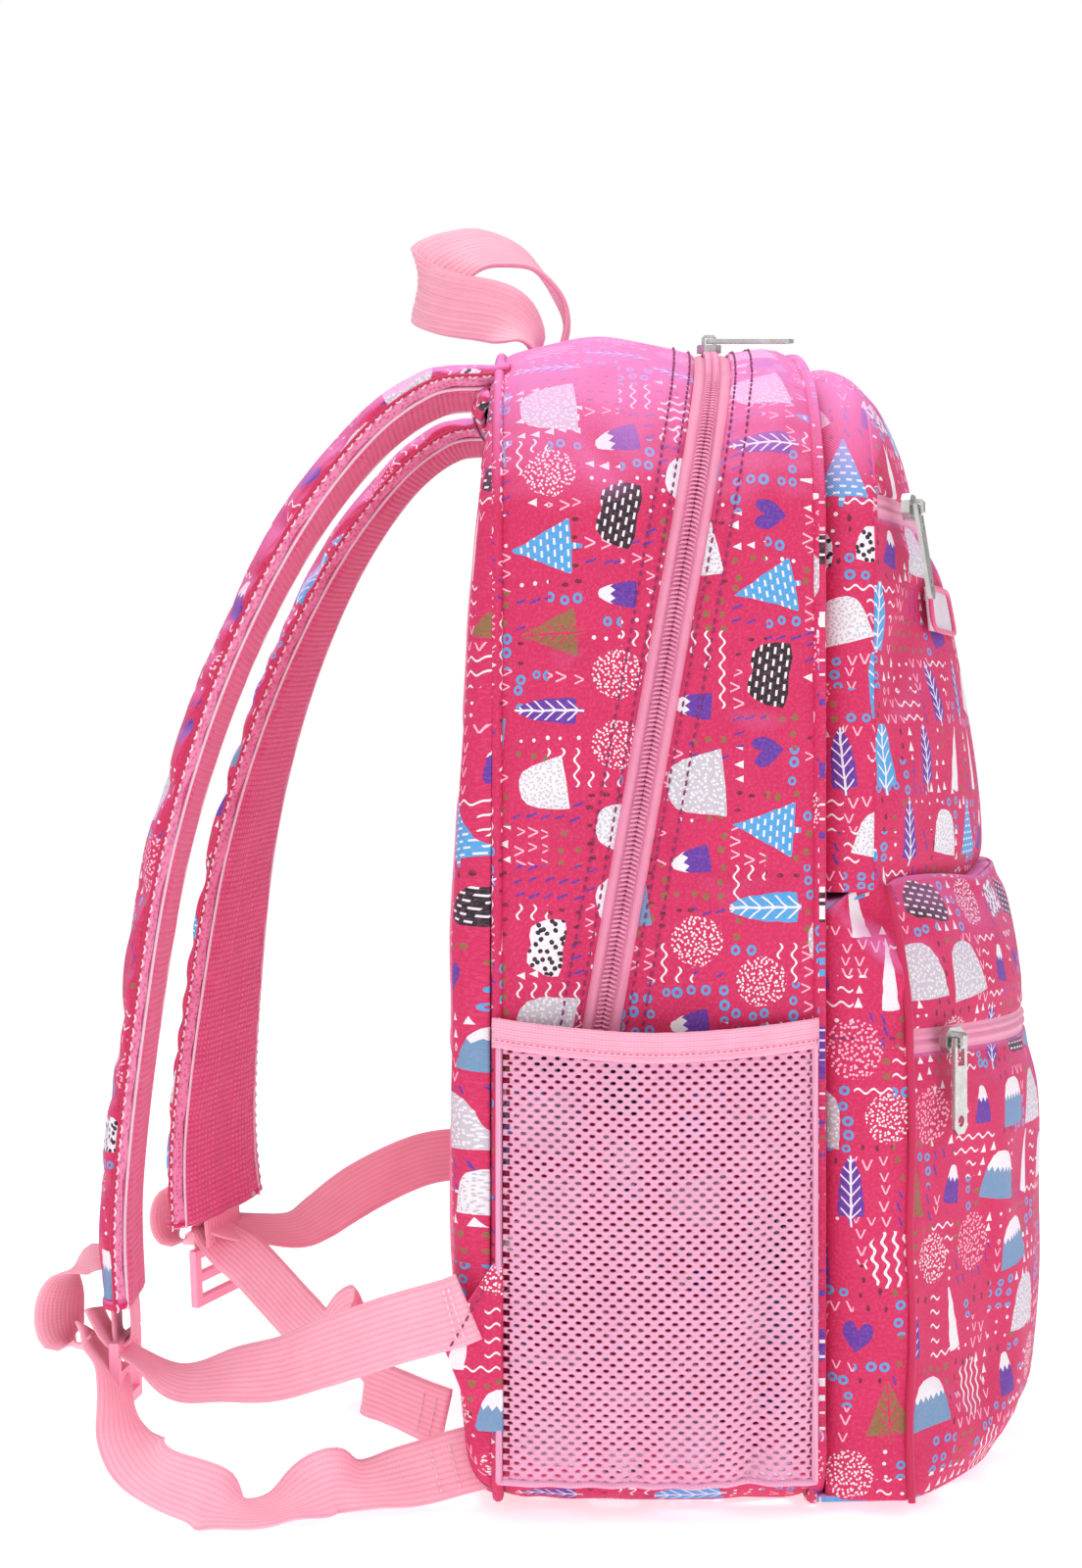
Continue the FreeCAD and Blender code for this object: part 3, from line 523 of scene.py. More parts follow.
def spline(points, count):
    """Smooth curve through the points, as count positions evenly spaced in length."""
    line = np.array(points, float)
    last = len(line) - 1
    fine = []
    for number in range(last):
        before, start, end, after = (line[min(max(number + step, 0), last)] for step in (-1, 0, 1, 2))
        for part in np.linspace(0, 1, 24, endpoint=number == last - 1):
            bend = before * 2 - start * 5 + end * 4 - after
            turn = start * 3 - before - end * 3 + after
            fine.append((start * 2 + (end - before) * part + bend * part**2 + turn * part**3) * 0.5)
    fine = np.array(fine)
    length = length_along(fine[:, :3])
    return values_at(np.linspace(0, length[-1], count), length, fine)


def unit(vectors):
    return vectors / np.maximum(np.linalg.norm(vectors, axis=-1, keepdims=True), 1e-12)


def print_at(across, up):
    """Fabric coordinates of a grid, from metres across and up the cloth."""
    across, up = np.broadcast_arrays(across, up)
    return np.stack([across, up, np.zeros(up.shape)], axis=-1)


def facing(direction, count):
    """One outward normal for every point of a line."""
    return np.tile(np.array(direction, float), (count, 1))


def add_piece(name, points, faces, material, body="pack", cloth=None, slot=None, closed=True):
    """Mesh object on a body, with its material and fabric coordinates; the slot argument is not used."""
    mesh = bpy.data.meshes.new(name)
    mesh.from_pydata(np.asarray(points).reshape(-1, 3).tolist(), [], faces)
    mesh.validate()
    if closed:
        work = bmesh.new()
        work.from_mesh(mesh)
        bmesh.ops.recalc_face_normals(work, faces=work.faces)
        work.to_mesh(mesh)
        work.free()
    mesh.update()
    mesh.polygons.foreach_set("use_smooth", [True] * len(mesh.polygons))
    if cloth is not None:
        layer = mesh.attributes.new("cloth", "FLOAT_VECTOR", "POINT")
        layer.data.foreach_set("vector", np.asarray(cloth, np.float32).reshape(-1))
    mesh.materials.append(material)
    piece = bpy.data.objects.new(name, mesh)
    bpy.context.scene.collection.objects.link(piece)
    if body:
        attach(piece, body)
    return piece


def grid_faces(rows, columns, start=0, closed=False, flip=False):
    """Quads of a grid of points; closed joins the last column to the first."""
    faces = []
    for row in range(rows - 1):
        for column in range(columns if closed else columns - 1):
            right = (column + 1) % columns
            quad = [start + row * columns + column, start + row * columns + right,
                    start + (row + 1) * columns + right, start + (row + 1) * columns + column]
            faces.append(quad[::-1] if flip else quad)
    return faces


def grid_normals(points):
    """Unit normals of a grid of points, on the side that grid_faces shows."""
    down = np.gradient(points, axis=0)
    right = np.gradient(points, axis=1)
    return unit(np.cross(right, down))


def shell(name, points, cloth, material, thickness=0.002, **keys):
    """Closed piece from a grid of outer points, with an inner layer and rims."""
    rows, columns = points.shape[:2]
    inner = points - grid_normals(points) * thickness
    count = rows * columns
    faces = grid_faces(rows, columns) + grid_faces(rows, columns, count, flip=True)
    order = np.arange(count).reshape(rows, columns)
    rim = [*order[0], *order[1:, -1], *order[-1, -2::-1], *order[-2:0:-1, 0]]
    for one, two in zip(rim, rim[1:] + rim[:1]):
        faces.append([int(two), int(one), int(one) + count, int(two) + count])
    both = np.concatenate([points.reshape(-1, 3), inner.reshape(-1, 3)])
    coordinates = np.concatenate([cloth.reshape(-1, 3)] * 2)
    return add_piece(name, both, faces, material, cloth=coordinates, **keys)


def loft(name, rings, material, cloth=None, caps=True, **keys):
    """Closed skin over rings of points."""
    count, around = rings.shape[:2]
    faces = grid_faces(count, around, closed=True)
    if caps:
        faces.append(list(range(around - 1, -1, -1)))
        faces.append([(count - 1) * around + number for number in range(around)])
    return add_piece(name, rings, [face[::-1] for face in faces], material, cloth=cloth, **keys)


def frames(path, hint):
    """Direction along the path, and two directions square to it, one close to the hint."""
    along = unit(np.gradient(path, axis=0))
    out = unit(hint - (hint * along).sum(axis=1, keepdims=True) * along)
    return along, out, np.cross(along, out)


def cord(path, radius, around=8, hint=(0.0, 0.0, 1.0), flat=1.0):
    """Rings of a round cord along a path; flat squeezes it in the hint's direction."""
    hint = np.broadcast_to(np.array(hint, float), path.shape)
    _, out, side = frames(path, hint)
    turn = np.linspace(0, 2 * math.pi, around, endpoint=False)
    radius = np.broadcast_to(np.asarray(radius, float), (len(path),))[:, None, None]
    return path[:, None] + radius * (
        out[:, None] * np.cos(turn)[None, :, None] * flat + side[:, None] * np.sin(turn)[None, :, None])


def join_rings(name, groups, material, **keys):
    """One piece from several closed cords."""
    points, faces, start = [], [], 0
    for rings in groups:
        count, around = rings.shape[:2]
        faces += [face[::-1] for face in grid_faces(count, around, start, closed=True)]
        faces.append([start + number for number in range(around)])
        faces.append([start + (count - 1) * around + number for number in range(around - 1, -1, -1)])
        points.append(rings.reshape(-1, 3))
        start += count * around
    return add_piece(name, np.concatenate(points), faces, material, **keys)


def stitches(name, lines, material, pitch=0.0034, length=0.0022, radius=0.00042, body="pack", **keys):
    """Rows of small raised stitches along lines of (positions, outward normals)."""
    groups = []
    for line, normals in lines:
        steps = length_along(line)
        for number in range(int(steps[-1] / pitch)):
            at = np.array([0.02, 0.25, 0.5, 0.75, 0.98]) * length + number * pitch
            path = values_at(at, steps, line)
            out = values_at(at, steps, normals)
            lift = np.array([-0.3, 0.5, 0.8, 0.5, -0.3])[:, None] * radius
            groups.append(cord(path + out * lift, np.array([0.5, 1, 1, 1, 0.5]) * radius, 6, out[2]))
    return join_rings(name, groups, material, body=body, **keys)


def subdivide(piece):
    """One level of smoothing."""
    modifier = piece.modifiers.new("smooth", "SUBSURF")
    modifier.levels = modifier.render_levels = 1
    return piece


def held_edges(shape, top=2):
    """Weights that hold both layers of a shell at its edges."""
    edge = np.zeros(shape)
    edge[:top] = edge[-2:] = edge[:, :2] = edge[:, -2:] = 1
    return np.concatenate([edge.ravel()] * 2)


def puff(piece, held, pressure, shrink, cap):
    """Cloth simulation: the piece swells and wrinkles between its held points, by at most the cap."""
    last_frame = 18
    start = np.empty(len(piece.data.vertices) * 3)
    piece.data.vertices.foreach_get("co", start)
    group = piece.vertex_groups.new(name="held")
    for index, weight in enumerate(held):
        if weight > 0:
            group.add([index], float(weight), "REPLACE")
    modifier = piece.modifiers.new("cloth", "CLOTH")
    settings = modifier.settings
    settings.quality = 6
    settings.mass = 0.3
    settings.tension_stiffness = settings.compression_stiffness = 12.0
    settings.bending_stiffness = 0.6
    settings.vertex_group_mass = "held"
    settings.pin_stiffness = 1.0
    settings.shrink_min = shrink
    settings.use_pressure = True
    settings.uniform_pressure_force = pressure
    settings.effector_weights.gravity = 0.0
    modifier.collision_settings.use_collision = False
    scene = bpy.context.scene
    scene.frame_start, scene.frame_end = 1, last_frame
    modifier.point_cache.frame_start, modifier.point_cache.frame_end = 1, last_frame
    for step in range(1, last_frame + 1):
        scene.frame_set(step)
    solved = piece.evaluated_get(bpy.context.evaluated_depsgraph_get())
    moved = np.empty_like(start)
    solved.data.vertices.foreach_get("co", moved)
    piece.modifiers.remove(modifier)
    scene.frame_set(1)
    shift = (moved - start).reshape(-1, 3)
    far = np.linalg.norm(shift, axis=1, keepdims=True)
    shift *= np.minimum(1.0, cap / np.maximum(far, 1e-9))
    piece.data.vertices.foreach_set("co", (start.reshape(-1, 3) + shift).ravel())
    piece.data.update()


def outer_grid(piece, columns):
    """The outer layer's points of a shell, as they are now."""
    points = np.empty(len(piece.data.vertices) * 3)
    piece.data.vertices.foreach_get("co", points)
    return points.reshape(2, -1, columns, 3)[0]


def ripple(x, y, seed, scale=0.02):
    """Smooth noise between -1 and 1."""
    return noise.noise(Vector((x / scale, y / scale, seed)))


def ripples(first, second, seed, scale=0.02):
    flat = [ripple(x, y, seed, scale) for x, y in zip(np.ravel(first), np.ravel(second))]
    return np.array(flat).reshape(np.shape(first))


# ---------------------------------------------------------------- outlines


def arc(centre, radius, first, last, step=0.005):
    """Points of a circle between two angles."""
    count = max(3, int(abs(last - first) * radius / step) + 1)
    angle = np.linspace(first, last, count)
    return np.stack([centre[0] + radius * np.cos(angle), centre[1] + radius * np.sin(angle)], axis=1)


def evenly(points, step):
    """The line with evenly spaced points, and their lengths along it."""
    length = length_along(points)
    at = np.linspace(0, length[-1], int(round(length[-1] / step)) + 1)
    return values_at(at, length, points), at


def over_top(inset, low, step=0.005):
    """From the left at height low over the top to the right: points, outward normals and length so far."""
    half, corner, arch = HALF - inset, CORNER_RADIUS - inset, ARCH_RADIUS - inset
    meet = math.pi / 2 + SHOULDER
    points = np.concatenate([
        [(-half, low)],
        arc((-CORNER_X, CORNER_Z), corner, math.pi, meet),
        arc((0, ARCH_Z), arch, meet, math.pi - meet),
        arc((CORNER_X, CORNER_Z), corner, math.pi - meet, 0),
        [(half, low)],
    ])
    points, length = evenly(points, step)
    return points, outward(points), length


def under_base(high, step=0.005):
    """From the right side at height high, under the base and up the left."""
    foot = HALF - FOOT_RADIUS
    points = np.concatenate([
        [(HALF, high)],
        arc((foot, FOOT_RADIUS), FOOT_RADIUS, 0, -math.pi / 2),
        arc((-foot, FOOT_RADIUS), FOOT_RADIUS, -math.pi / 2, -math.pi),
        [(-HALF, high)],
    ])
    points, length = evenly(points, step)
    return points, outward(points), length


def outward(points):
    """Normals on the left of a line's direction of travel."""
    along = unit(np.gradient(points, axis=0))
    return np.stack([-along[:, 1], along[:, 0]], axis=1)


def edge_distance(x, z, inset):
    """How far inside the bag's outline a point of the front or back is."""
    x = np.abs(x)
    side = HALF - inset - x
    top = ARCH_RADIUS - inset - np.hypot(x, z - ARCH_Z)
    corner = CORNER_RADIUS - inset - np.hypot(x - CORNER_X, z - CORNER_Z)
    in_corner = (x > CORNER_X) & (z > CORNER_Z) & (np.arctan2(x - CORNER_X, z - CORNER_Z) > SHOULDER)
    return np.where(in_corner, corner, np.minimum(side, top))


def top_of(x, inset):
    """Height of the outline above a place across the bag."""
    x = np.abs(x)
    arch, corner = ARCH_RADIUS - inset, CORNER_RADIUS - inset
    meet = math.sin(SHOULDER) * arch
    low = CORNER_Z + np.sqrt(np.maximum(corner**2 - np.maximum(x - CORNER_X, 0) ** 2, 0))
    return np.where(x < meet, ARCH_Z + np.sqrt(np.maximum(arch**2 - x**2, 0)), low)


def half_at(z, inset):
    """Half width of the outline at a height."""
    corner = CORNER_RADIUS - inset
    rise = np.clip(z - CORNER_Z, 0, corner)
    return CORNER_X + np.sqrt(corner**2 - rise**2)


def seam_dip(distance, depth=0.0018, reach=0.004):
    """Cloth pulled in beside a seam."""
    return depth * np.exp(-distance / reach)


def wall_grid(points, normals, height, y):
    """Grid of a wall that runs along an outline, swelling outwards by a height."""
    x = points[:, None, 0] + normals[:, None, 0] * height
    return np.stack([x, y, points[:, None, 1] + normals[:, None, 1] * height], axis=2)


# ---------------------------------------------------------------- main compartment


def gusset(name, node, path, near_edge, far_edge, columns, seams, rise, seed, wrinkle=0.0012, cap=0.0035):
    """Band of cloth from back to front, running along the outline; a sewn-in edge is pulled in."""
    points, normals, length = path
    share = np.linspace(0, 1, columns)
    near = np.array([near_edge(z) for z in points[:, 1]])
    far = np.array([far_edge(z) for z in points[:, 1]])
    y = near[:, None] + (far - near)[:, None] * share[None]
    width = np.abs(far - near)[:, None]
    from_near, from_far = share[None] * width, (1 - share[None]) * width
    height = rise * np.sin(math.pi * share)[None] ** 0.8 * np.minimum(1, width / 0.05)
    along = np.broadcast_to(length[:, None], y.shape)
    height = height + wrinkle * ripples(along, y, seed, 0.035) * np.sin(math.pi * share)[None]
    height = height - seam_dip(from_near) * seams[0] - seam_dip(from_far) * seams[1]
    pucker = 0.0005 * np.sin(along * 2 * math.pi / 0.011 + seed)
    height = height + pucker * (np.exp(-from_near / 0.006) + np.exp(-from_far / 0.006))
    piece = shell(name, wall_grid(points, normals, height, y), print_at(along + seed * 0.37, y), PRINT)
    puff(piece, held_edges(y.shape), 0.6, -0.015, cap)
    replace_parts(piece, node)
    return piece


def line_beside(grid, edge_column, distance):
    """Line on a panel's surface at a distance from one of its long edges, with its outward normals."""
    columns = grid.shape[1]
    order = range(columns) if edge_column == 0 else range(columns - 1, -1, -1)
    strip = grid[:, list(order)]
    line = np.concatenate([values_at([distance], length_along(row), row) for row in strip])
    return line, grid_normals(grid)[:, order[3]]


def coil_rings(path, normals, across, offset, hand, pitch=0.0016, wide=0.00125, high=0.0008, thick=0.00042):
    """Spiral of nylon beside the closing line of a zip."""
    length = length_along(path)
    turns = int(length[-1] / pitch)
    at = np.linspace(0, length[-1], turns * 8 + 1)
    angle = np.linspace(0, 2 * math.pi * turns, turns * 8 + 1)
    middle = values_at(at, length, path)
    out = unit(values_at(at, length, normals))
    side = unit(values_at(at, length, across))
    middle = middle + side * offset + out * high
    line = middle + side * (wide * np.cos(angle) * hand)[:, None] + out * (high * np.sin(angle))[:, None]
    return cord(line, thick, 5, out)


def main_zip(rear_grid, front_grid):
    """Two woven tapes and the coil between the side panels."""
    points, normals, length = over_top(0, ZIP_FOOT, 0.004)
    middle = np.array([zip_y(z) for z in points[:, 1]])
    flat = np.stack([points[:, 0], middle, points[:, 1]], axis=1)
    out = np.stack([normals[:, 0], np.zeros(len(points)), normals[:, 1]], axis=1)
    along = unit(np.gradient(flat, axis=0))
    side = np.cross(out, along)
    side *= np.sign(side[:, 1:2])
    share = np.linspace(0.0002, TAPE_HALF + 0.0022, 9)
    lift = -0.0013 + 0.0009 * np.exp(-((share - 0.0045) / 0.0011) ** 2)
    for name, sign in (("rear", 1), ("front", -1)):
        grid = flat[:, None] + side[:, None] * (share * sign)[:, None] + out[:, None] * lift[:, None]
        if sign > 0:
            grid = grid[:, ::-1]
        piece = shell(f"zip_tape_{name}", grid, print_at(share[None], length[:, None]), ZIP_TAPE, 0.0007)
        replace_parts(piece, f"main_zip_tape_{name}")
    path = flat - out * 0.0008
    groups = [coil_rings(path, out, side, 0.0013 * hand, hand) for hand in (1, -1)]
    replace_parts(join_rings("zip_coil_main", groups, COIL), "main_zip_coil")
    rows = []
    for grid, edge in ((rear_grid, -1), (front_grid, 0)):
        rows += [line_beside(grid, edge, distance) for distance in (0.0022, 0.0082)]
    stitches("zip_stitches_main", rows, DARK_THREAD)


def main_compartment():
    path = over_top(0, ZIP_FOOT - 0.001)
    base_path = under_base(ZIP_FOOT - 0.001)
    gap = TAPE_HALF + 0.0003
    back, behind_zip = lambda z: REAR, lambda z: zip_y(z) + gap
    front, before_zip = lambda z: FRONT, lambda z: zip_y(z) - gap
    rear = gusset("side_panel_rear", "rear_zip_gusset", path, back, behind_zip, 18, (1, 0), 0.0035, 1.0)
    fore = gusset("side_panel_front", "front_zip_gusset", path, before_zip, front, 18, (0, 1), 0.0030, 1.0)
    base = gusset(
        "base_panel", "base_gusset", base_path, back, front, 24, (1, 1), 0.0004, 3.0, 0.0006, 0.0008)
    main_zip(outer_grid(rear, 18), outer_grid(fore, 18))
    for piece in (rear, fore, base):
        subdivide(piece)


def rolled_seam(name, outline, y, radius):
    """Turned edge of printed cloth along a seam."""
    path = np.stack([outline[:, 0], np.full(len(outline), y), outline[:, 1]], axis=1)
    rings = cord(path, radius, 10, (0, 1, 0))
    around = np.linspace(0, 2 * math.pi * radius, 10)
    return loft(name, rings, PRINT, print_at(length_along(path)[:, None], around[None] + y * 9))


def whole_outline(inset):
    """Closed outline of the front or back."""
    top, _, _ = over_top(inset, FOOT_RADIUS, 0.004)
    below, _, _ = under_base(FOOT_RADIUS, 0.004)
    return np.concatenate([top, below[1:-1], top[:1]])


# ---------------------------------------------------------------- front pockets


def upper_rise(x, z):
    """How far the upper pocket's face stands out of its seam; it fades into the seam all round."""
    tallest = 0.052 * (1 - ((z - UPPER_FOOT) / 0.204) ** 2)
    tallest = np.maximum(tallest, 0.0002)
    radius = (0.137**2 + tallest**2) / (2 * tallest)
    lens = np.sqrt(np.maximum(radius**2 - x**2, 0)) - (radius - tallest)
    inside = np.clip(edge_distance(x, z, UPPER_INSET), 0, None)
    fade = 1 - np.exp(-inside / 0.010)
    seam_roll = 0.0015 * (1 - np.exp(-inside / 0.012)) - 0.0015 * np.exp(-inside / 0.003)
    return np.maximum(lens, 0) * fade + seam_roll


def upper_face_grid(x, z, seed, proud=0.0):
    """Points of the upper pocket's face, a little wrinkled, with a distance in front of it."""
    wrinkle = 0.0012 * ripples(x, z, seed, 0.045) * np.clip(edge_distance(x, z, UPPER_INSET) / 0.03, 0, 1)
    y = UPPER_SEAM - upper_rise(x, z) - wrinkle - proud
    return np.stack([x, y, z], axis=2)


def flat_cloth(grid, shift=0.0):
    """Upright print on a front face, measured round the curve."""
    step = np.linalg.norm(np.diff(grid[..., :2], axis=1), axis=2)
    round_it = np.concatenate([np.zeros((len(grid), 1)), np.cumsum(step, axis=1)], axis=1)
    round_it -= round_it[:, grid.shape[1] // 2, None]
    return print_at(round_it + shift, grid[..., 2])


def pocket_face(name, node, grid, shift, soft=0.003):
    """Sewn cloth face of a front pocket, swollen by at most the soft distance."""
    piece = shell(name, grid, flat_cloth(grid, shift), PRINT)
    puff(piece, held_edges(grid.shape[:2]), 0.5, -0.015, soft)
    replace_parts(piece, node)
    subdivide(piece)


def pocket_gusset():
    """Side wall of the upper pocket, with upright print and a groove at both seams."""
    points, normals, length = over_top(UPPER_INSET, UPPER_FOOT, 0.004)
    share = np.linspace(0, 1, 10)
    shift = 0.11
    y = np.broadcast_to((UPPER_BACK + (UPPER_SEAM - UPPER_BACK) * share)[None], (len(points), len(share)))
    along = np.broadcast_to(length[:, None], y.shape)
    height = 0.0022 * np.sin(math.pi * share)[None] + 0.0009 * ripples(along, y, shift, 0.02)
    height = height - 0.0022 * (np.exp(-share / 0.12) + np.exp(-(1 - share) / 0.12))[None]
    side = np.where(points[:, 0] < 0, 1.0, -1.0)[:, None]
    cloth = print_at(-y * side + shift, points[:, 1:])
    piece = subdivide(shell("upper_pocket_side", wall_grid(points, normals, height, y), cloth, PRINT))
    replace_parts(piece, "upper_pocket_gusset")


def pocket_zip(name, nodes_replaced, grid):
    """Reverse-coil zip on a pocket face: a smooth tape with two raised edges and a closing line."""
    share = np.linspace(-1, 1, len(grid))[:, None]
    ridge = 0.0009 * np.exp(-((np.abs(share) - 0.30) / 0.13) ** 2) - 0.0006 * np.exp(-(share / 0.06) ** 2)
    grid = grid + grid_normals(grid) * ridge[..., None]
    run = np.cumsum(np.linalg.norm(np.diff(grid, axis=1, prepend=grid[:, :1]), axis=2), axis=1)
    piece = shell(name, grid, print_at(grid[..., 2], run), ZIP_TAPE, 0.0008)
    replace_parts(piece, *nodes_replaced)


def upper_pocket():
    """Faces below and above the zip, the zip and the side wall."""
    seed, shift = 5.0, 0.05
    pocket_gusset()
    u = np.sin(np.linspace(-1, 1, 49) * math.pi / 2)
    z = np.linspace(UPPER_FOOT + 0.0005, UPPER_ZIP - POCKET_TAPE_HALF, 26)
    x = u[None] * half_at(z, UPPER_INSET)[:, None]
    lower = upper_face_grid(x, np.broadcast_to(z[:, None], x.shape), seed)
    pocket_face("upper_face", "upper_pocket_face", lower, shift)
    zip_top = UPPER_ZIP + POCKET_TAPE_HALF
    x = np.broadcast_to((u * (float(half_at(zip_top, UPPER_INSET)) - 0.001))[None], (12, len(u)))
    crest = top_of(x[0], UPPER_INSET)[None]
    z = zip_top + (crest - zip_top) * np.linspace(0, 1, 12)[:, None]
    pocket_face("upper_face_top", "upper_pocket_face_top", upper_face_grid(x, z, seed), shift, 0.002)
    z = np.linspace(UPPER_ZIP - POCKET_TAPE_HALF - 0.001, zip_top + 0.001, 17)
    x = u[None] * (half_at(z, UPPER_INSET)[:, None] - 0.0005)
    tape = upper_face_grid(x, np.broadcast_to(z[:, None], x.shape), seed, -0.0012)
    pocket_zip("upper_zip", ("upper_zip_tape", "upper_zip_coil"), tape)


def label_patch():
    """Blank woven patch with a thick pink border, sewn under the upper zip."""
    middle_x, middle_z, half_x, half_z = -0.084, 0.318, 0.017, 0.008
    proud, border_proud, seed = 0.0036, 0.0042, 5.0
    u, v = np.meshgrid(np.linspace(-1, 1, 25), np.linspace(-1, 1, 15))
    x, z = middle_x + u * half_x, middle_z + v * half_z
    piece = shell("label_patch_woven", upper_face_grid(x, z, seed, proud), print_at(x, z), PATCH, 0.0014)
    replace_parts(piece, "label_patch")
    turn = np.linspace(0, 2 * math.pi, 81)
    power = lambda v: np.sign(v) * np.abs(v) ** 0.35
    x = middle_x + power(np.cos(turn)) * half_x
    z = middle_z + power(np.sin(turn)) * half_z
    path = upper_face_grid(x[None], z[None], seed, border_proud)[0]
    join_rings("label_patch_border", [cord(path, 0.0009, 8, (0, -1, 0))], PINK_THREAD, slot="patch")


LOWER_HALF, LOWER_TOP, LOWER_BASE, LOWER_BULGE = 0.140, 0.212, 0.004, 0.060
LOWER_RADIUS = (LOWER_HALF**2 + LOWER_BULGE**2) / (2 * LOWER_BULGE)


def lower_face_at(share, z, seed=9.0, proud=0.0):
    """Point of the lower pocket's face: share runs from -1 at the left seam to 1 at the right one."""
    widest = math.asin(LOWER_HALF / LOWER_RADIUS)
    angle = share * widest
    middle = np.cos(share * math.pi / 2)
    inside = (1 - np.abs(share)) * LOWER_HALF
    body = 0.006 * np.sin(np.clip((z + 0.02) / 0.24, 0, 1) * math.pi) * middle
    foot = -0.012 * np.clip((0.035 - z) / 0.035, 0, 1) ** 2 * middle
    lean = -0.010 * np.clip((z - 0.165) / 0.06, 0, 1) * middle
    soft = 0.0016 * ripples(share * 0.15, z, seed, 0.05) * np.clip(inside / 0.02, 0, 1)
    roll = 0.0022 * (1 - np.exp(-inside / 0.006)) - 0.0015
    out = LOWER_RADIUS + body + foot + lean + soft + roll + proud
    centre = LOWER_SEAM - LOWER_BULGE + LOWER_RADIUS
    return corner_lean(np.stack([out * np.sin(angle), centre - out * np.cos(angle), z + 0 * share], axis=-1))


def lower_crest(share):
    """Height of the face's top edge: highest in the middle, sagging at the seams."""
    return LOWER_TOP - 0.004 + 0.017 * np.cos(share * math.pi / 2) ** 0.7


def corner_lean(points):
    """The pocket's slack top corners lean back and in."""
    x, y, z = points[..., 0], points[..., 1], points[..., 2]
    front = np.clip((UPPER_BACK - y) / (UPPER_BACK - LOWER_SEAM), 0, 1)
    high = np.clip((z - 0.170) / 0.042, 0, 1) ** 1.5
    aside = np.clip((np.abs(x) - 0.085) / 0.055, 0, 1)
    amount = front * high * aside
    return points + np.stack([-np.sign(x) * 0.007 * amount, 0.009 * amount, 0.012 * amount], axis=-1)


def lower_sides():
    """Side walls with a fold under the sagging top corner, an upright print and a sewn crossing seam."""
    crest = lower_crest(np.array(1.0)) + 0.003
    v, u = np.meshgrid(np.linspace(0, 1, 40), np.linspace(0, 1, 14), indexing="ij")
    z = LOWER_BASE + v * (crest - LOWER_BASE)
    y = UPPER_BACK + (LOWER_SEAM - UPPER_BACK) * u
    for name, side in SIDE_SIGNS:
        bulge = 0.0035 * np.sin(math.pi * u) * np.sin(math.pi * np.clip(v * 1.1, 0, 1)) ** 0.5
        bulge = bulge + 0.0012 * ripples(y, z, 4.0 + side, 0.03)
        crease = (z - 0.184) - (1 - u) * 0.025
        folded = np.clip(crease / 0.010, 0, 1)
        closing = np.clip((crest - z) / 0.008, 0, 1)
        tuck = np.sin(math.pi * u ** 1.6)
        bulge = bulge - 0.010 * folded * tuck * closing + 0.004 * np.exp(-(crease / 0.0035) ** 2) * closing
        bulge = bulge - 0.0016 * np.exp(-((z - 0.168) / 0.0022) ** 2)
        bulge = bulge - 0.0025 * np.exp(-u / 0.12) - 0.0006 * np.exp(-(1 - u) / 0.10)
        x = side * (LOWER_HALF + 0.0005 + bulge)
        grid = corner_lean(np.stack([x, y, z], axis=2))
        if side > 0:
            grid = grid[:, ::-1]
        cloth = print_at(side * grid[..., 1] - side * 0.231 + 0.2, grid[..., 2])
        piece = subdivide(shell(f"lower_side_{name}", grid, cloth, PRINT))
        if side < 0:
            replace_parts(piece, "lower_pocket_gusset")
        line = np.empty((12, 3))
        line[:, 0] = side * (LOWER_HALF + 0.0013)
        line[:, 1] = np.linspace(UPPER_BACK - 0.002, LOWER_SEAM + 0.002, 12)
        line[:, 2] = LOWER_ZIP + 0.0015
        stitches(f"lower_side_stitches_{name}", [(line, facing((side, 0, 0), 12))], DARK_THREAD)


def lower_faces(share, seed=9.0, shift=0.2):
    """Faces below and above the lower zip, and the zip between them."""
    zip_low, zip_top = LOWER_ZIP - POCKET_TAPE_HALF, LOWER_ZIP + POCKET_TAPE_HALF
    s, height = np.meshgrid(share, np.linspace(LOWER_BASE, zip_low, 30))
    pocket_face("lower_face", "lower_pocket_face", lower_face_at(s, height), shift)
    height = zip_top + (lower_crest(share)[None] - zip_top) * np.linspace(0, 1, 12)[:, None]
    s = np.broadcast_to(share[None], height.shape)
    pocket_face("lower_face_top", "lower_pocket_face_top", lower_face_at(s, height), shift, 0.0025)
    s, height = np.meshgrid(share, np.linspace(zip_low - 0.001, zip_top + 0.001, 17))
    pocket_zip("lower_zip", ("lower_zip_tape", "lower_zip_coil"), lower_face_at(s, height, seed, -0.0012))


def lower_lid_and_floor(share):
    """Sagging cloth lid between the face's crest and the bag, and the flat floor under it."""
    front = lower_face_at(share, lower_crest(share), 9.0, -0.0015)
    back_height = LOWER_TOP - 0.001 + 0.007 * np.cos(share * math.pi / 2) ** 0.5
    back = np.stack([share * LOWER_HALF, np.full_like(share, UPPER_BACK + 0.0022), back_height], axis=1)
    v = np.linspace(0, 1, 12)[:, None, None]
    lid = front[None] + (back - front)[None] * v
    sag = 0.006 * np.sin(math.pi * v[..., 0]) * np.cos(share * math.pi / 2)[None]
    lid[..., 2] -= sag - 0.0012 * ripples(lid[..., 0], lid[..., 1], 7.0, 0.03)
    subdivide(shell("lower_lid", lid, print_at(lid[..., 0], lid[..., 1]), PRINT))
    front = lower_face_at(share, np.full_like(share, LOWER_BASE), 9.0, -0.0015)
    back[:, 2] = LOWER_BASE
    floor_grid = (front[None] + (back - front)[None] * v)[::-1]
    shell("lower_floor", floor_grid, print_at(floor_grid[..., 0], floor_grid[..., 1]), PRINT)


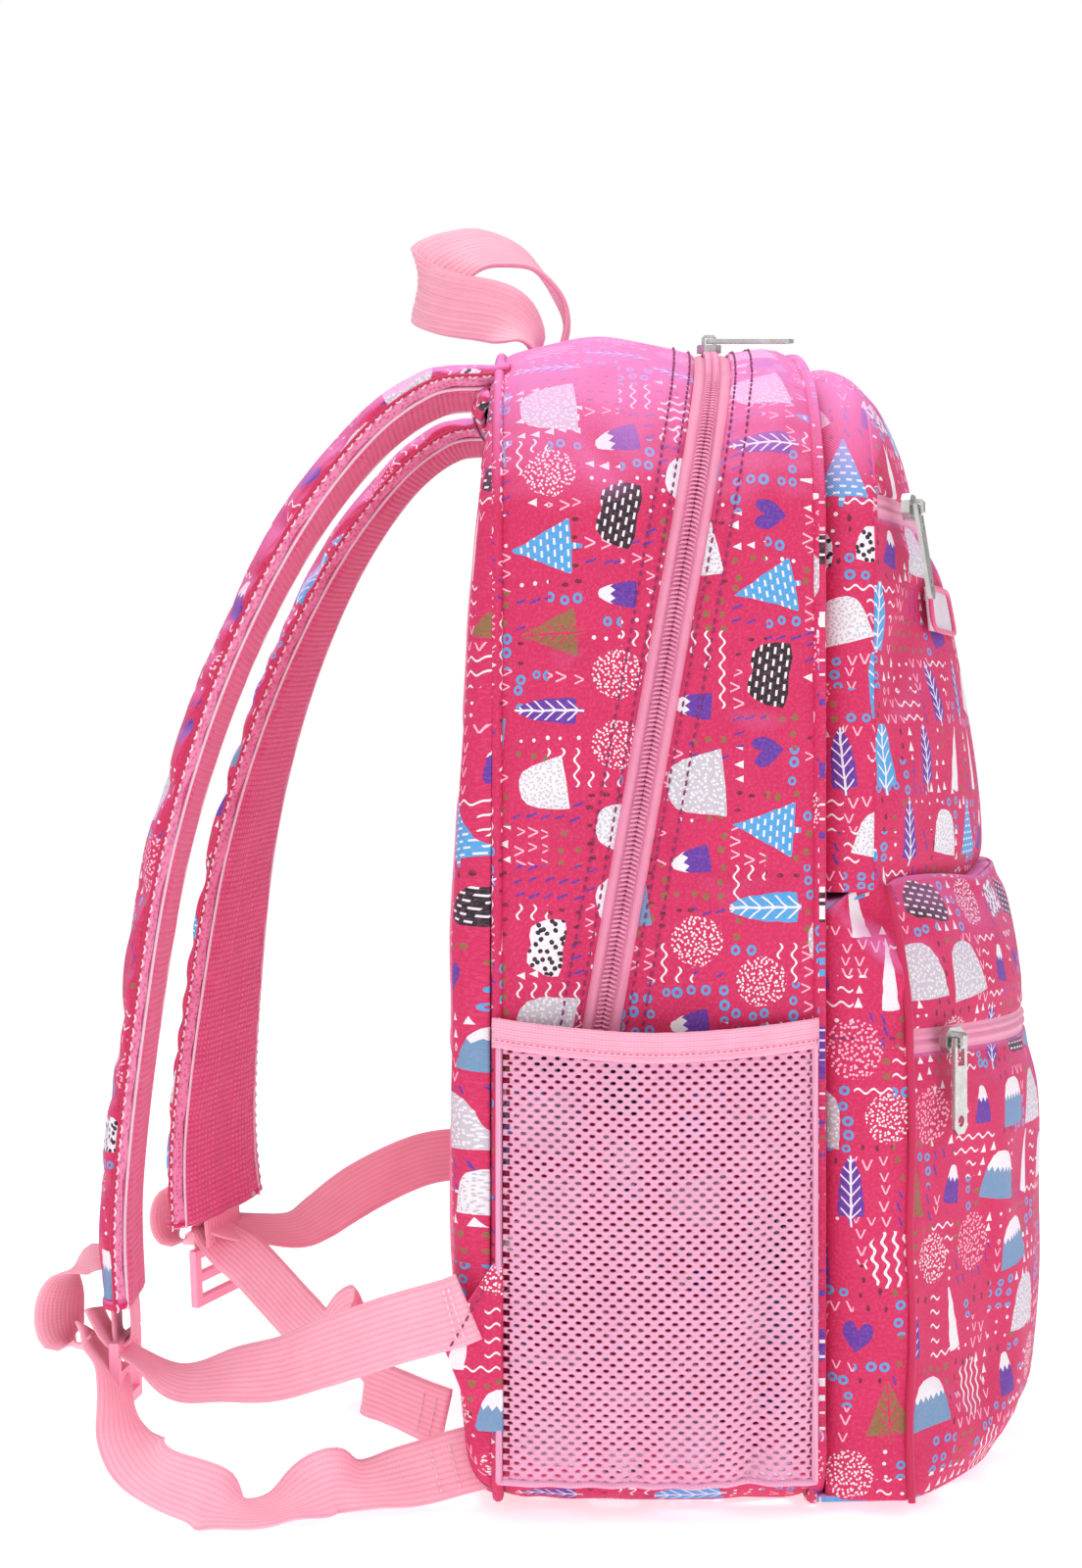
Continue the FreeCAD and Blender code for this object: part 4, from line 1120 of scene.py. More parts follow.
def lower_piping():
    """Cord in the seams between the lower pocket's face and its side walls."""
    groups = []
    for side in (-1, 1):
        z = np.linspace(LOWER_BASE, lower_crest(np.array(1.0)), 60)
        bend = 0.0006 * np.sin(z * 90 + side)
        x = side * (LOWER_HALF + 0.0005 + bend)
        path = np.stack([x, np.full_like(z, LOWER_SEAM - 0.0001) + bend, z], axis=1)
        groups.append(cord(corner_lean(path), 0.0014, 10, (side, 0, 0)))
    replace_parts(join_rings("lower_piping", groups, PIPING), "lower_pocket_piping")


def lower_pocket():
    even = np.linspace(-1, 1, 61)
    share = np.sin(even * math.pi / 2) * 0.35 + even * 0.65
    lower_faces(share)
    lower_lid_and_floor(share)
    lower_sides()
    lower_piping()


# ---------------------------------------------------------------- mesh side pockets

MESH_END, MESH_LOW, MESH_HIGH = 0.055, 0.013, 0.166
NET_CELL, NET_ROW = 0.0047, 0.0020


def mesh_surface(y, z, side, seed):
    """Outer surface of a mesh pocket, hanging loose from its binding and gathered at the bottom."""
    across = np.clip((y + MESH_END) / (2 * MESH_END), 0, 1)
    up = np.clip((z - MESH_LOW) / (MESH_HIGH - MESH_LOW), 0, 1)
    full = np.sin(math.pi * across) ** 0.55
    bulge = (0.0055 + 0.0085 * np.sin(math.pi * np.clip(up * 0.85, 0, 1)) ** 0.7) * full
    sag = 0.0032 * ripples(y + 0.3 * z, z, seed, 0.034)
    fold = 0.0042 * np.exp(-((y + 0.040 - 0.12 * (0.09 - z)) / 0.006) ** 2) * (1 - up) ** 0.5
    gather = 0.0012 * np.sin(y * 2 * math.pi / 0.014 + 3 * z / 0.05) * np.exp(-(z - MESH_LOW) / 0.02)
    return side * (HALF + 0.0012 + bulge + (sag + gather) * full - fold)


def mesh_net(name, side):
    """Knitted net: a brick pattern of cells, each with an oval hole."""
    wide, high = NET_CELL, NET_ROW
    columns = int(2 * MESH_END / wide)
    rows = int((MESH_HIGH - MESH_LOW) / high)
    turn = np.arange(8) * math.pi / 4 - 3 * math.pi / 4
    rim = np.stack([np.round(np.cos(turn)) / 2, np.round(np.sin(turn)) / 2], axis=1)
    hole = np.stack([np.cos(turn) * 0.235, np.sin(turn) * 0.33], axis=1)
    points, faces, index = [], [], {}

    def corner(y, z):
        key = (round(y * 2e5), round(z * 2e5))
        if key not in index:
            index[key] = len(points)
            points.append((y, z))
        return index[key]

    for row in range(rows):
        shift = 0.5 if row % 2 else 0.0
        for column in range(columns - (row % 2)):
            y0 = -MESH_END + (column + 0.5 + shift) * wide
            z0 = MESH_LOW + (row + 0.5) * high
            ring = [corner(y0 + a * wide, z0 + b * high) for a, b in rim]
            start = len(points)
            points.extend((y0 + a * wide, z0 + b * high) for a, b in hole)
            for step in range(8):
                after = (step + 1) % 8
                faces.append([ring[step], ring[after], start + after, start + step])
    flat = np.array(points)
    x = mesh_surface(flat[:, 0], flat[:, 1], side, 2.0 + side)
    place = np.stack([x, flat[:, 0], flat[:, 1]], axis=1)
    if side < 0:
        faces = [face[::-1] for face in faces]
    piece = add_piece(name, place, faces, KNIT, cloth=print_at(flat[:, 0], flat[:, 1]), closed=False)
    solid = piece.modifiers.new("thickness", "SOLIDIFY")
    solid.thickness = 0.0008
    solid.offset = -1.0
    return piece


def binding(name, side):
    """Ribbed elastic folded over the pocket's mouth, with a sewn line near its lower edge."""
    along = np.linspace(-MESH_END - 0.001, MESH_END + 0.002, 90)
    turn = np.linspace(0, 1, 46)
    height = 0.0105
    rise = np.where(turn < 0.5, turn * 2, 2 - turn * 2)
    outer = turn < 0.5
    ribs = 0.00035 * np.abs(np.sin(rise * math.pi * 5.5)) * outer
    rings = []
    for y in along:
        base = abs(float(mesh_surface(np.array(y), np.array(MESH_HIGH - 0.002), side, 2.0 + side)))
        droop = -0.004 * math.sin(math.pi * np.clip((y + MESH_END) / (2 * MESH_END), 0, 1))
        gather = 0.0004 * math.sin(y * 2 * math.pi / 0.009)
        x = np.where(outer, base + 0.0014 + ribs, base - 0.0006) + gather
        x = x - 0.0010 * np.exp(-((rise - 1) / 0.06) ** 2) * np.where(outer, 1, -1)
        z = MESH_HIGH - 0.003 + droop + rise * height
        rings.append(np.stack([side * x, np.full_like(x, y), z], axis=1))
    rings = np.array(rings)
    if side > 0:
        rings = rings[::-1]
    piece = loft(name, rings, ELASTIC, print_at(rise[None] * height, rings[..., 1]))
    line = rings[:, 6] + np.array([side * 0.0003, 0, 0])
    rows = [(line, facing((side, 0, 0), len(line)))]
    stitches(name + "_stitches", rows, PINK_THREAD, 0.0022, 0.0012, 0.00022, slot="elastic")
    return piece


def mesh_seams(name, side):
    """Cords along both upright edges and the foot of a mesh pocket."""
    z = np.linspace(MESH_LOW, MESH_HIGH, 40)
    y = np.linspace(-MESH_END, MESH_END, 40)
    seam = []
    for along_y, along_z, seed in (
            (0 * z + MESH_END - 0.0005, z, 1.0), (0 * z - MESH_END + 0.0005, z, 1.0),
            (y, 0 * y + MESH_LOW, 2.0 + side)):
        path = np.stack([mesh_surface(along_y, along_z, side, seed), along_y, along_z], axis=1)
        seam.append(cord(path, 0.0012, 8, (side, 0, 0)))
    edge = join_rings(f"mesh_seam_{name}", seam, KNIT)
    layer = edge.data.attributes.new("cloth", "FLOAT_VECTOR", "POINT")
    layer.data.foreach_set("vector", [value for vertex in edge.data.vertices for value in vertex.co])


def mesh_pockets():
    for name, side in SIDE_SIGNS:
        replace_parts(mesh_net(f"mesh_net_{name}", side), f"mesh_pocket_{name}")
        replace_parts(binding(f"mesh_band_{name}", side), f"mesh_binding_{name}")
        mesh_seams(name, side)


# ---------------------------------------------------------------- back


def bottom_of(x, inset):
    """Height of the outline's underside below a place across the bag."""
    foot = FOOT_RADIUS - inset
    past = np.clip(np.abs(x) - (HALF - FOOT_RADIUS), 0, foot)
    return FOOT_RADIUS - np.sqrt(np.maximum(foot**2 - past**2, 0))


def back_edge(x, z):
    """Distance inside the back's outline, round the base corners too."""
    x = np.abs(x)
    straight = np.minimum(edge_distance(x, z, 0), z)
    round_it = FOOT_RADIUS - np.hypot(x - (HALF - FOOT_RADIUS), z - FOOT_RADIUS)
    return np.where((x > HALF - FOOT_RADIUS) & (z < FOOT_RADIUS), round_it, straight)


def back_y(x, z):
    """The back's surface: a quarter round at the rim, flatter towards the top."""
    crown = np.interp(z, [0, 0.02, 0.05, 0.1, 0.2, 0.31, 0.36, 0.42],
                      [0.0640, 0.0665, 0.0695, 0.0715, 0.0715, 0.0650, 0.0610, 0.0580])
    inside = back_edge(x, z)
    crown = crown - 0.0060 * np.clip((inside - 0.017) / 0.010, 0, 1) * np.clip((0.40 - z) / 0.03, 0, 1)
    share = np.clip(inside / 0.012, 0, 1)
    quarter_round = np.sqrt(np.maximum(1 - (1 - share) ** 2, 0))
    return REAR + (crown - REAR) * quarter_round - 0.0012 * np.exp(-share / 0.12)


def back_grid(half, low, high, columns, rows, inset):
    """Places across the back and their heights, closer together near its edges."""
    u = np.sin(np.linspace(-1, 1, columns) * math.pi / 2)
    x = np.broadcast_to((u * half)[None], (rows, columns))
    v = np.linspace(0, 1, rows)[:, None]
    v = v * 0.5 + 0.5 * (0.5 - 0.5 * np.cos(math.pi * v))
    bottom = np.maximum(bottom_of(x[0], inset)[None], low)
    top = np.minimum(top_of(x[0], inset)[None], high)
    return x[:, ::-1], (bottom + (top - bottom) * v)[:, ::-1]


def back_panel():
    """Printed back with a soft rim, wrinkled a little between its seams."""
    x, z = back_grid(HALF - 0.0003, 0, 1, 61, 80, 0.0003)
    y = back_y(x, z) + 0.0008 * ripples(x, z, 6.0, 0.04) * np.clip(back_edge(x, z) / 0.01, 0, 1)
    piece = shell("back_print", np.stack([x, y, z], axis=2), print_at(-x, z), PRINT, 0.0025)
    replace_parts(piece, "back_panel", "back_foam_pad")
    subdivide(piece)
    rolled_seam("back_seam", whole_outline(0.0014), REAR + 0.0002, 0.0020)
    rolled_seam("front_seam", whole_outline(0.0026), FRONT - 0.0004, 0.0026)


def cushion():
    """Air-mesh back pad: swollen between its sewn edge and its channels."""
    rows, columns = 96, 77
    u = np.linspace(-1, 1, columns)
    v = np.linspace(0, 1, rows)
    low, high, inset = 0.026, 0.384, 0.026
    z = np.broadcast_to((low + (high - low) * v)[:, None], (rows, columns))
    half = half_at(z[:, 0], inset)
    near_foot = np.clip((low + 0.02 - z[:, 0]) / 0.02, 0, 1)
    near_top = np.clip((z[:, 0] - high + 0.02) / 0.02, 0, 1)
    half = half - 0.02 * (1 - np.sqrt(1 - np.maximum(near_foot, near_top) ** 2))
    x = (u[None] * half[:, None])[:, ::-1]
    inside = np.minimum(half[:, None] - np.abs(x), np.minimum(z - low, high - z))
    channel = np.minimum(np.abs(x), np.minimum(np.abs(z - 0.145), np.abs(z - 0.262)))
    pad_height = 0.0058 * (1 - np.exp(-inside / 0.008)) - 0.0050 * np.exp(-((channel / 0.0055) ** 2))
    y = back_y(x, z) + 0.0006 + pad_height + 0.0006 * ripples(x, z, 3.0, 0.025)
    grid = np.stack([x, y, z], axis=2)
    piece = shell("back_cushion", grid, print_at(-x, z), AIR_MESH, 0.003)
    edge = (inside < 0.004) | (channel < 0.0025)
    inner_layer = np.ones(rows * columns)
    puff(piece, np.concatenate([edge.astype(float).ravel(), inner_layer]), 0.8, -0.02, 0.002)
    subdivide(piece)
    rim = np.concatenate([grid[0], grid[:, -1], grid[-1, ::-1], grid[::-1, 0]])
    join_rings("cushion_piping", [cord(spline(rim[::4], 260), 0.0014, 8, (0, 1, 0))], PIPING)
    lines = []
    for column in (columns // 2 - 2, columns // 2 + 2):
        line = grid[2:-2, column] + np.array([0, 0.0012, 0])
        lines.append((line, facing((0, 1, 0), len(line))))
    stitches("cushion_stitches", lines, PINK_THREAD, slot="air_mesh")


def yoke():
    """Printed panel sewn over the roots of the shoulder straps."""
    rows, columns = 24, 61
    u = np.linspace(-1, 1, columns)
    half = 0.108
    x = np.broadcast_to((u * half)[None], (rows, columns))[:, ::-1]
    crest = top_of(x[0], 0.006)
    v = np.linspace(0, 1, rows)[:, None]
    low = 0.3805 + 0.010 * np.abs(x) / half
    z = low + (crest[None] - low) * v
    edge = np.minimum(np.minimum(v, 1 - v) * 0.034, (1 - np.abs(x) / half) * half)
    over_strap = np.exp(-(((np.abs(x) - 0.066) / 0.030) ** 4)) * np.exp(-np.clip(z - 0.392, 0, 1) / 0.012)
    y = back_y(x, z) + 0.0036 * (1 - np.exp(-edge / 0.004)) + 0.0045 * over_strap
    y = y + 0.0008 * ripples(x, z, 8.0, 0.02) - 0.0004
    grid = np.stack([x, y, z], axis=2)
    piece = shell("yoke_print", grid, print_at(-x, z), PRINT, 0.003)
    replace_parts(piece, "strap_yoke")
    subdivide(piece)
    lines = []
    for row in (2, rows - 3):
        line = grid[row, 6:-6] + np.array([0, 0.0004, 0])
        lines.append((line, facing((0, 1, 0), len(line))))
    stitches("yoke_stitches", lines, DARK_THREAD)


# ---------------------------------------------------------------- straps

STRAP_ROOT = (0.061, 0.404)
STRAP_LINE = [(0.051, 0.4045), STRAP_ROOT, (0.082, 0.401), (0.107, 0.382), (0.135, 0.344), (0.161, 0.290),
              (0.180, 0.228), (0.191, 0.160), (0.197, 0.100), (0.196, 0.062)]
STRAP_HALF, STRAP_LENGTH = 0.032, 0.40

# Side sign, how far the lower end spreads, its twist in degrees, and its reach compared with STRAP_LINE
SIDES = {"left": (-1, 0.009, -3.0, 1.0), "right": (1, 0.046, 30.0, 0.93)}

# Turns of the strap's outline: how far the print wraps round the edge, and where the inner mesh starts
WRAP, LAP = 0.010, 0.135


def strap_path(name, count):
    """Centre line and width direction of a shoulder strap."""
    side, spread, twist, reach = SIDES[name]
    line = spline([(y, z, 0) for y, z in STRAP_LINE], count)
    down = (STRAP_ROOT[1] - line[:, 1]) / (STRAP_ROOT[1] - STRAP_LINE[-1][1])
    y = STRAP_ROOT[0] + reach * (line[:, 0] - STRAP_ROOT[0])
    centre = np.stack([side * (0.066 + spread * down), y, line[:, 1]], axis=1)
    angle = np.radians(twist * down)
    across = np.stack([np.cos(angle), -np.sin(angle), np.zeros(count)], axis=1)
    along = unit(np.gradient(centre, axis=0))
    across = unit(across - (across * along).sum(axis=1, keepdims=True) * along)
    return centre, across, np.cross(across, along), along


def strap_thickness(down):
    return 0.0115 - 0.0010 * down


def strap_section(share, half, thick):
    """Outline of a padded strap at a turn of 0 to 1: flat faces and full round edges."""
    angle = share * 2 * math.pi
    side, out = np.cos(angle), np.sin(angle)
    wide = np.sign(side) * np.abs(side) ** 0.42 * half
    high = np.sign(out) * np.abs(out) ** 0.75 * thick / 2
    return wide, high


def strap_skin(name, first, last, count, shift=0.0, grow=0.0):
    """Part of the strap's skin between two turns of its outline."""
    rows = 120
    centre, across, out, _ = strap_path(name, rows)
    share = np.linspace(first, last, count)
    down = np.linspace(0, 1, rows)[:, None]
    half = STRAP_HALF * (1 - 0.03 * np.exp(-(1 - down) / 0.02))
    wide, high = strap_section(share[None], half, strap_thickness(down))
    along = np.broadcast_to(down * STRAP_LENGTH, wide.shape)
    soft = 0.0007 * ripples(wide, along, 1.0 + shift, 0.025) + grow
    creases = np.abs(np.sin(along * math.pi / 0.021 + 2 * np.sin(along * 40))) ** 6 * (np.abs(wide) > 0.02)
    high = high + np.sign(high) * (soft - 0.0009 * creases)
    grid = centre[:, None] + across[:, None] * wide[..., None] + out[:, None] * high[..., None]
    run = np.cumsum(np.linalg.norm(np.diff(grid, axis=1, prepend=grid[:, :1]), axis=2), axis=1)
    cloth = print_at(-run + shift, -along)
    if np.mean((grid_normals(grid) * (grid - centre[:, None])).sum(axis=2)) < 0:
        grid, cloth = grid[:, ::-1], cloth[:, ::-1]
    return grid, cloth


def strap(name):
    """Outer printed cloth, inner mesh, and the two open mesh edges between them."""
    body = f"strap_{name}"
    grid, cloth = strap_skin(name, -WRAP, 0.5 + WRAP, 34, 0.4 if name == "left" else 0.9)
    piece = shell(f"strap_print_{name}", grid, cloth, PRINT, 0.0015, body=body)
    puff(piece, held_edges(grid.shape[:2], 3), 0.5, -0.012, 0.0022)
    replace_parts(piece, f"strap_{name}_outer")
    subdivide(piece)
    grid, cloth = strap_skin(name, 0.5 + LAP, 1.0 - LAP, 30, grow=0.0004)
    piece = shell(f"strap_inner_{name}", grid, cloth, GRID_MESH, 0.0015, body=body)
    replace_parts(piece, f"strap_{name}_mesh")
    subdivide(piece)
    for number, (first, last) in enumerate(((0.5 + WRAP, 0.5 + LAP), (1.0 - LAP, 1.0 - WRAP))):
        grid, cloth = strap_skin(name, first, last, 12, grow=-0.0003)
        piece = shell(f"strap_edge_{name}_{number}", grid, cloth, EDGE_MESH, 0.0015, body=body)
        subdivide(piece)
        if number == 0:
            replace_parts(piece, f"strap_{name}_foam")
    strap_cords(name, body)
    strap_end_cap(name)


def strap_cords(name, body):
    """Piping and overlocked thread along both edges of the print, and a cord along the inner mesh."""
    centre, across, out, _ = strap_path(name, 700)
    down = np.linspace(0, 1, 700)[:, None]

    def at_turn(turn, wider, lift=0.0):
        wide, high = strap_section(np.array([[turn]]), STRAP_HALF, strap_thickness(down))
        return centre + across * wide * wider + out * (high + lift)

    sway = 0.0006 * np.sin(down * STRAP_LENGTH * 2 * math.pi / 0.0050)
    piping = [cord(at_turn(turn, 1.012), 0.0008, 8, (0, 1, 0)) for turn in (-WRAP, 0.5 + WRAP)]
    turns = (-WRAP - 0.010, 0.5 + WRAP + 0.010)
    locks = [cord(at_turn(turn, 1.022, sway), 0.00045, 6, (0, 1, 0)) for turn in turns]
    inner = [cord(at_turn(turn, 1.0, -0.0001), 0.0006, 8, (0, 1, 0)) for turn in (0.5 + LAP, 1.0 - LAP)]
    join_rings(f"strap_piping_{name}", piping, PIPING, body=body)
    join_rings(f"strap_overlock_{name}", locks, PALE_THREAD, body=body)
    join_rings(f"strap_inner_cord_{name}", inner, PALE_THREAD, body=body, slot="printed_cloth")


def strap_end_cap(name):
    """Bound lower end of the strap with the webbing loop sewn into it."""
    centre, across, out, along = strap_path(name, 400)
    rings = []
    for back, grow in ((5, 1.0), (3, 1.03), (1, 1.02), (0, 0.9)):
        place = centre[-1 - back]
        wide, high = strap_section(np.linspace(0, 1, 36, endpoint=False), STRAP_HALF * grow, 0.0110 * grow)
        rings.append(place + across[-1] * wide[:, None] + out[-1] * high[:, None])
    rings.append(centre[-1] + along[-1] * 0.002 + (rings[-1] - centre[-1]) * 0.6)
    rings = np.array(rings)
    cloth = print_at(rings[..., 0], rings[..., 2])
    subdivide(loft(f"strap_end_{name}", rings, PRINT, cloth, body=f"strap_{name}"))


# ---------------------------------------------------------------- webbing


def band(name, line, across, width, thick, body="pack", ribs=0, around=22):
    """Woven band along a line; across gives its width's direction at the line's points."""
    count = max(24, int(np.linalg.norm(np.diff(line, axis=0), axis=1).sum() / 0.0022))
    both = np.concatenate([np.array(line, float), unit(np.array(across, float)) * 0.02], axis=1)
    steps = spline(both, count)
    centre, wide = steps[:, :3], steps[:, 3:]
    along = unit(np.gradient(centre, axis=0))
    wide = unit(wide - (wide * along).sum(axis=1, keepdims=True) * along)
    out = np.cross(wide, along)
    half = around // 2
    u = np.concatenate([np.linspace(-1, 1, half), np.linspace(1, -1, half)])
    face = np.concatenate([np.ones(half), -np.ones(half)])
    edge = 1 - 0.45 * np.abs(u) ** 12
    height = face * thick / 2 * edge
    if ribs:
        height = height + face * thick * 0.16 * np.cos(u * math.pi * ribs)
    length = np.linspace(0, np.linalg.norm(np.diff(centre, axis=0), axis=1).sum(), count)
    flutter = 0.0005 * np.sin(length * 2 * math.pi / 0.041 + len(name))[:, None] * (u ** 2)[None]
    rings = (
        centre[:, None] + wide[:, None] * (u * width / 2)[None, :, None]
        + out[:, None] * (height[None] + flutter)[..., None])
    cloth = print_at(u * width / 2, length[:, None])
    cloth[..., 2] = height
    return loft(name, rings, WEBBING, cloth, body=body), centre, wide, out


def cross_stitches(name, centre, wide, out, places, body, half=0.009):
    """Short rows of stitches across both faces of a band."""
    lines = []
    for place in places:
        for face in (out[place], -out[place]):
            row = centre[place] + wide[place] * np.linspace(-half, half, 12)[:, None] + face * 0.0011
            lines.append((row, facing(face, 12)))
    return stitches(name, lines, PALE_THREAD, 0.0026, 0.0018, 0.0003, body=body)


def strap_loop(name):
    """Folded webbing that holds the ladder lock on the strap's end."""
    body = f"strap_{name}"
    centre, across, out, along = strap_path(name, 60)
    end, side, face, down = centre[-1], across[-1], out[-1], along[-1]
    fold = np.linspace(0, math.pi, 9)
    front = [end - down * 0.012 + face * 0.0035, end + face * 0.0036, end + down * 0.009 + face * 0.0034]
    turn = [end + down * (0.0125 + 0.0032 * math.sin(a)) + face * 0.0032 * math.cos(a) for a in fold]
    rear = [end + down * 0.009 - face * 0.0034, end - face * 0.0036, end - down * 0.012 - face * 0.0035]
    line = np.array(front + turn + rear)
    piece, middle, wide, normal = band(
        f"strap_loop_{name}", line, facing(side, len(line)), 0.025, 0.0016, body)
    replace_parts(piece, f"lock_loop_{name}")
    cross_stitches(f"strap_loop_stitches_{name}", middle, wide, normal, (3, 5), body)


def metres(points):
    return np.array(points, float) * 0.001


def free_band(name, node, line, across, width, ends):
    """Webbing from its sewn end on the bag to the strap, put on no body."""
    piece, centre, wide, out = band(name, line, across, width, 0.0016, body=None)
    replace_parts(piece, node)
    places = [int(share * (len(centre) - 1)) for share in ends]
    rows = cross_stitches(name + "_stitches", centre, wide, out, places, None, width * 0.38)
    for soft in (piece, rows):
        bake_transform(soft)


def side_loop(name, line, turn):
    """Slack bight of webbing that sticks out behind the ladder lock."""
    band(f"slack_loop_{name}", line, turn, 0.024, 0.0015, f"strap_{name}")


def left_webbing():
    """Near side: the band from the lock to the bag, its loose tail and the slack loop."""
    line = metres([
        (-76, 207, 58), (-79, 199, 47), (-84, 184, 38), (-90, 170, 35), (-100, 152, 39),
        (-112, 133, 44.5), (-126, 113, 54), (-139, 91, 64), (-147, 72, 71), (-148.6, 65, 74)])
    turn = [(1, 0, 0), (1, 0, 0), (1, 0, 0.05), (0.93, 0, 0.35), (0.8, 0, 0.6),
            (0.5, 0, 0.85), (0.2, 0, 1), (0, -0.1, 1), (0, -0.4, 0.9), (0, -0.5, 0.85)]
    free_band("adjuster_left", "adjuster_webbing_left", line, turn, 0.024, (0.97, 0.985))
    line = metres([
        (-76, 209, 50), (-81, 205, 44), (-90, 198, 37), (-105, 192, 25), (-120, 186, 18),
        (-138, 174, 13), (-152, 158, 11), (-157, 143, 6), (-151, 130, 5), (-142, 113, 12),
        (-136, 101, 9), (-132, 86, 11), (-130, 70, 15), (-128, 60, 17)])
    turn = [(1, 0, 0), (1, 0, 0), (1, -0.1, 0), (1, -0.3, 0), (0.8, -0.5, 0.3),
            (0.25, 0, 1), (0.3, 0.3, 0.85), (0.85, 0.4, 0.3), (0.9, 0.3, 0.15), (0.3, 0.2, 0.9),
            (0.75, 0.3, 0.5), (0.55, 0.1, 0.8), (0.3, 0, 1), (0.2, 0, 1)]
    free_band("tail_left", "webbing_tail_left", line, turn, 0.0225, (0.92, 0.95))
    line = metres([
        (-72, 200, 74), (-72, 209, 76), (-73, 217, 70), (-75, 220, 58), (-76, 218, 46),
        (-76, 211, 44), (-76, 206, 50)])
    turn = [(1, 0, 0), (0.95, 0, 0.3), (0.85, -0.4, 0.3), (0.8, -0.6, 0.1), (0.8, -0.5, -0.3),
            (0.95, 0, -0.3), (1, 0, 0)]
    side_loop("left", line, turn)


def right_webbing():
    """Far side: the same three bands, with the tail lying across under the back."""
    line = metres([
        (112, 189, 58), (117, 174, 53), (125, 153, 51), (130, 141, 56), (136, 121, 69),
        (143, 95, 80), (147, 72, 82), (148.6, 64, 80)])
    turn = [(0.86, -0.5, 0), (0.9, -0.3, 0.2), (0.85, 0, 0.5), (0.6, 0, 0.8), (0.3, 0, 0.95),
            (0.1, 0, 1), (0, -0.3, 1), (0, -0.4, 0.9)]
    free_band("adjuster_right", "adjuster_webbing_right", line, turn, 0.024, (0.97, 0.985))
    line = metres([
        (112, 191, 56), (108, 184, 50), (99, 171, 42), (85, 158, 33), (68, 145, 24),
        (52, 132, 19), (40, 121, 30), (30, 113, 34), (21, 111, 22), (8, 112, 10),
        (-8, 102, 9), (-30, 88, 9), (-46, 77, 9)])
    turn = [(0.86, -0.5, 0), (0.5, -0.7, 0.3), (0.1, -0.7, 0.7), (0, -0.67, 0.74), (0, -0.6, 0.8),
            (0.1, -0.2, 0.95), (0.2, 0.3, 0.9), (0.1, 0.5, 0.8), (0.5, 0.5, 0.6), (0.7, 0.3, 0.6),
            (0.6, 0.2, 0.7), (0.6, 0.2, 0.7), (0.6, 0.2, 0.7)]
    free_band("tail_right", "webbing_tail_right", line, turn, 0.0225, (0.93, 0.97))
    line = metres([
        (112, 192, 74), (113, 199, 76), (112, 205, 70), (111, 207, 60), (111, 205, 51),
        (112, 199, 48), (112, 193, 52)])
    turn = [(0.9, -0.4, 0), (0.9, -0.2, 0.3), (0.8, -0.5, 0.3), (0.8, -0.6, 0.1), (0.8, -0.5, -0.3),
            (0.9, -0.2, -0.3), (0.9, -0.4, 0)]
    side_loop("right", line, turn)


def tabs():
    """Printed triangles of doubled cloth that carry the lower ends of the webbing."""
    low, peak, high, sewn = 0.030, 0.0615, 0.089, 0.0530
    v, u = np.meshgrid(np.linspace(0, 1, 22), np.linspace(0, 1, 16), indexing="ij")
    z = low + (high - low) * v
    y = sewn + (np.interp(z, [low, peak, high], [0.0620, 0.0745, 0.0565]) - sewn) * u
    for name, side in SIDE_SIGNS:
        swell = 0.0034 - 0.0012 * u + 0.0014 * np.sin(math.pi * v) + 0.0006 * ripples(y, z, side, 0.01)
        grid = np.stack([side * (HALF + swell), y, z], axis=2)
        cloth = print_at(y * -side, z)
        if side < 0:
            grid, cloth = grid[:, ::-1], cloth[:, ::-1]
        piece = shell(f"tab_{name}", grid, cloth, PRINT, 0.0034)
        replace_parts(piece, f"webbing_tab_{name}")
        subdivide(piece)
        line = np.empty((14, 3))
        line[:, 0] = side * (HALF + 0.0050)
        line[:, 1] = np.linspace(0.0712, 0.0575, 14)
        line[:, 2] = np.linspace(0.0605, 0.0835, 14)
        stitches(f"tab_stitches_{name}", [(line, facing((side, 0, 0), 14))], DARK_THREAD)


def grab_handle():
    """Soft ribbed webbing handle that lies back over the bag's top."""
    line = metres([
        (-34, 43, 419), (-34, 45, 429), (-33, 56, 438), (-27, 76, 443), (-13, 88, 451),
        (0, 84, 462), (9, 75, 470), (17, 62, 475), (25, 49, 474), (31, 40, 467),
        (35, 32, 457), (36, 29, 448), (35, 31, 437), (34, 38, 419)])
    turn = [(1, 0.2, 0), (0.8, -0.3, 0.5), (0.2, -0.4, 0.9), (0, -0.2, 1), (0, -0.15, 1),
            (0.35, 0, 0.93), (0.6, 0, 0.8), (0.7, 0.1, 0.7), (0.85, 0.1, 0.5), (0.97, 0, 0.2),
            (1, 0, 0), (1, 0, 0), (1, 0, 0), (1, 0, 0)]
    piece, _, _, _ = band("handle_webbing", line, turn, 0.025, 0.0022, body=None, ribs=12, around=84)
    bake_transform(piece)
    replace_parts(piece, "grab_handle")


# ---------------------------------------------------------------- solid parts kept from the frame


def dress():
    """Materials and softened edges for the parts that keep their own shape."""
    looks = {
        "main_front_panel": PRINT_FLAT, "back_lining": LINING, "main_lining": LINING, "base_board": BOARD,
        "ladder_lock_left": BUCKLE, "ladder_lock_right": BUCKLE,
    }
    for name in ("main_slider_left", "main_slider_right", "upper_slider", "lower_slider"):
        looks[name] = METAL
        looks[name + "_pull"] = METAL
    for name, material in looks.items():
        piece = nodes[name]
        for place in piece.material_slots:
            place.material = material
        if material in (METAL, BUCKLE):
            edge = piece.modifiers.new("edges", "BEVEL")
            edge.width = 0.0004 if material is METAL else 0.0006
            edge.segments = 3
            edge.limit_method = "ANGLE"


# ---------------------------------------------------------------- stage


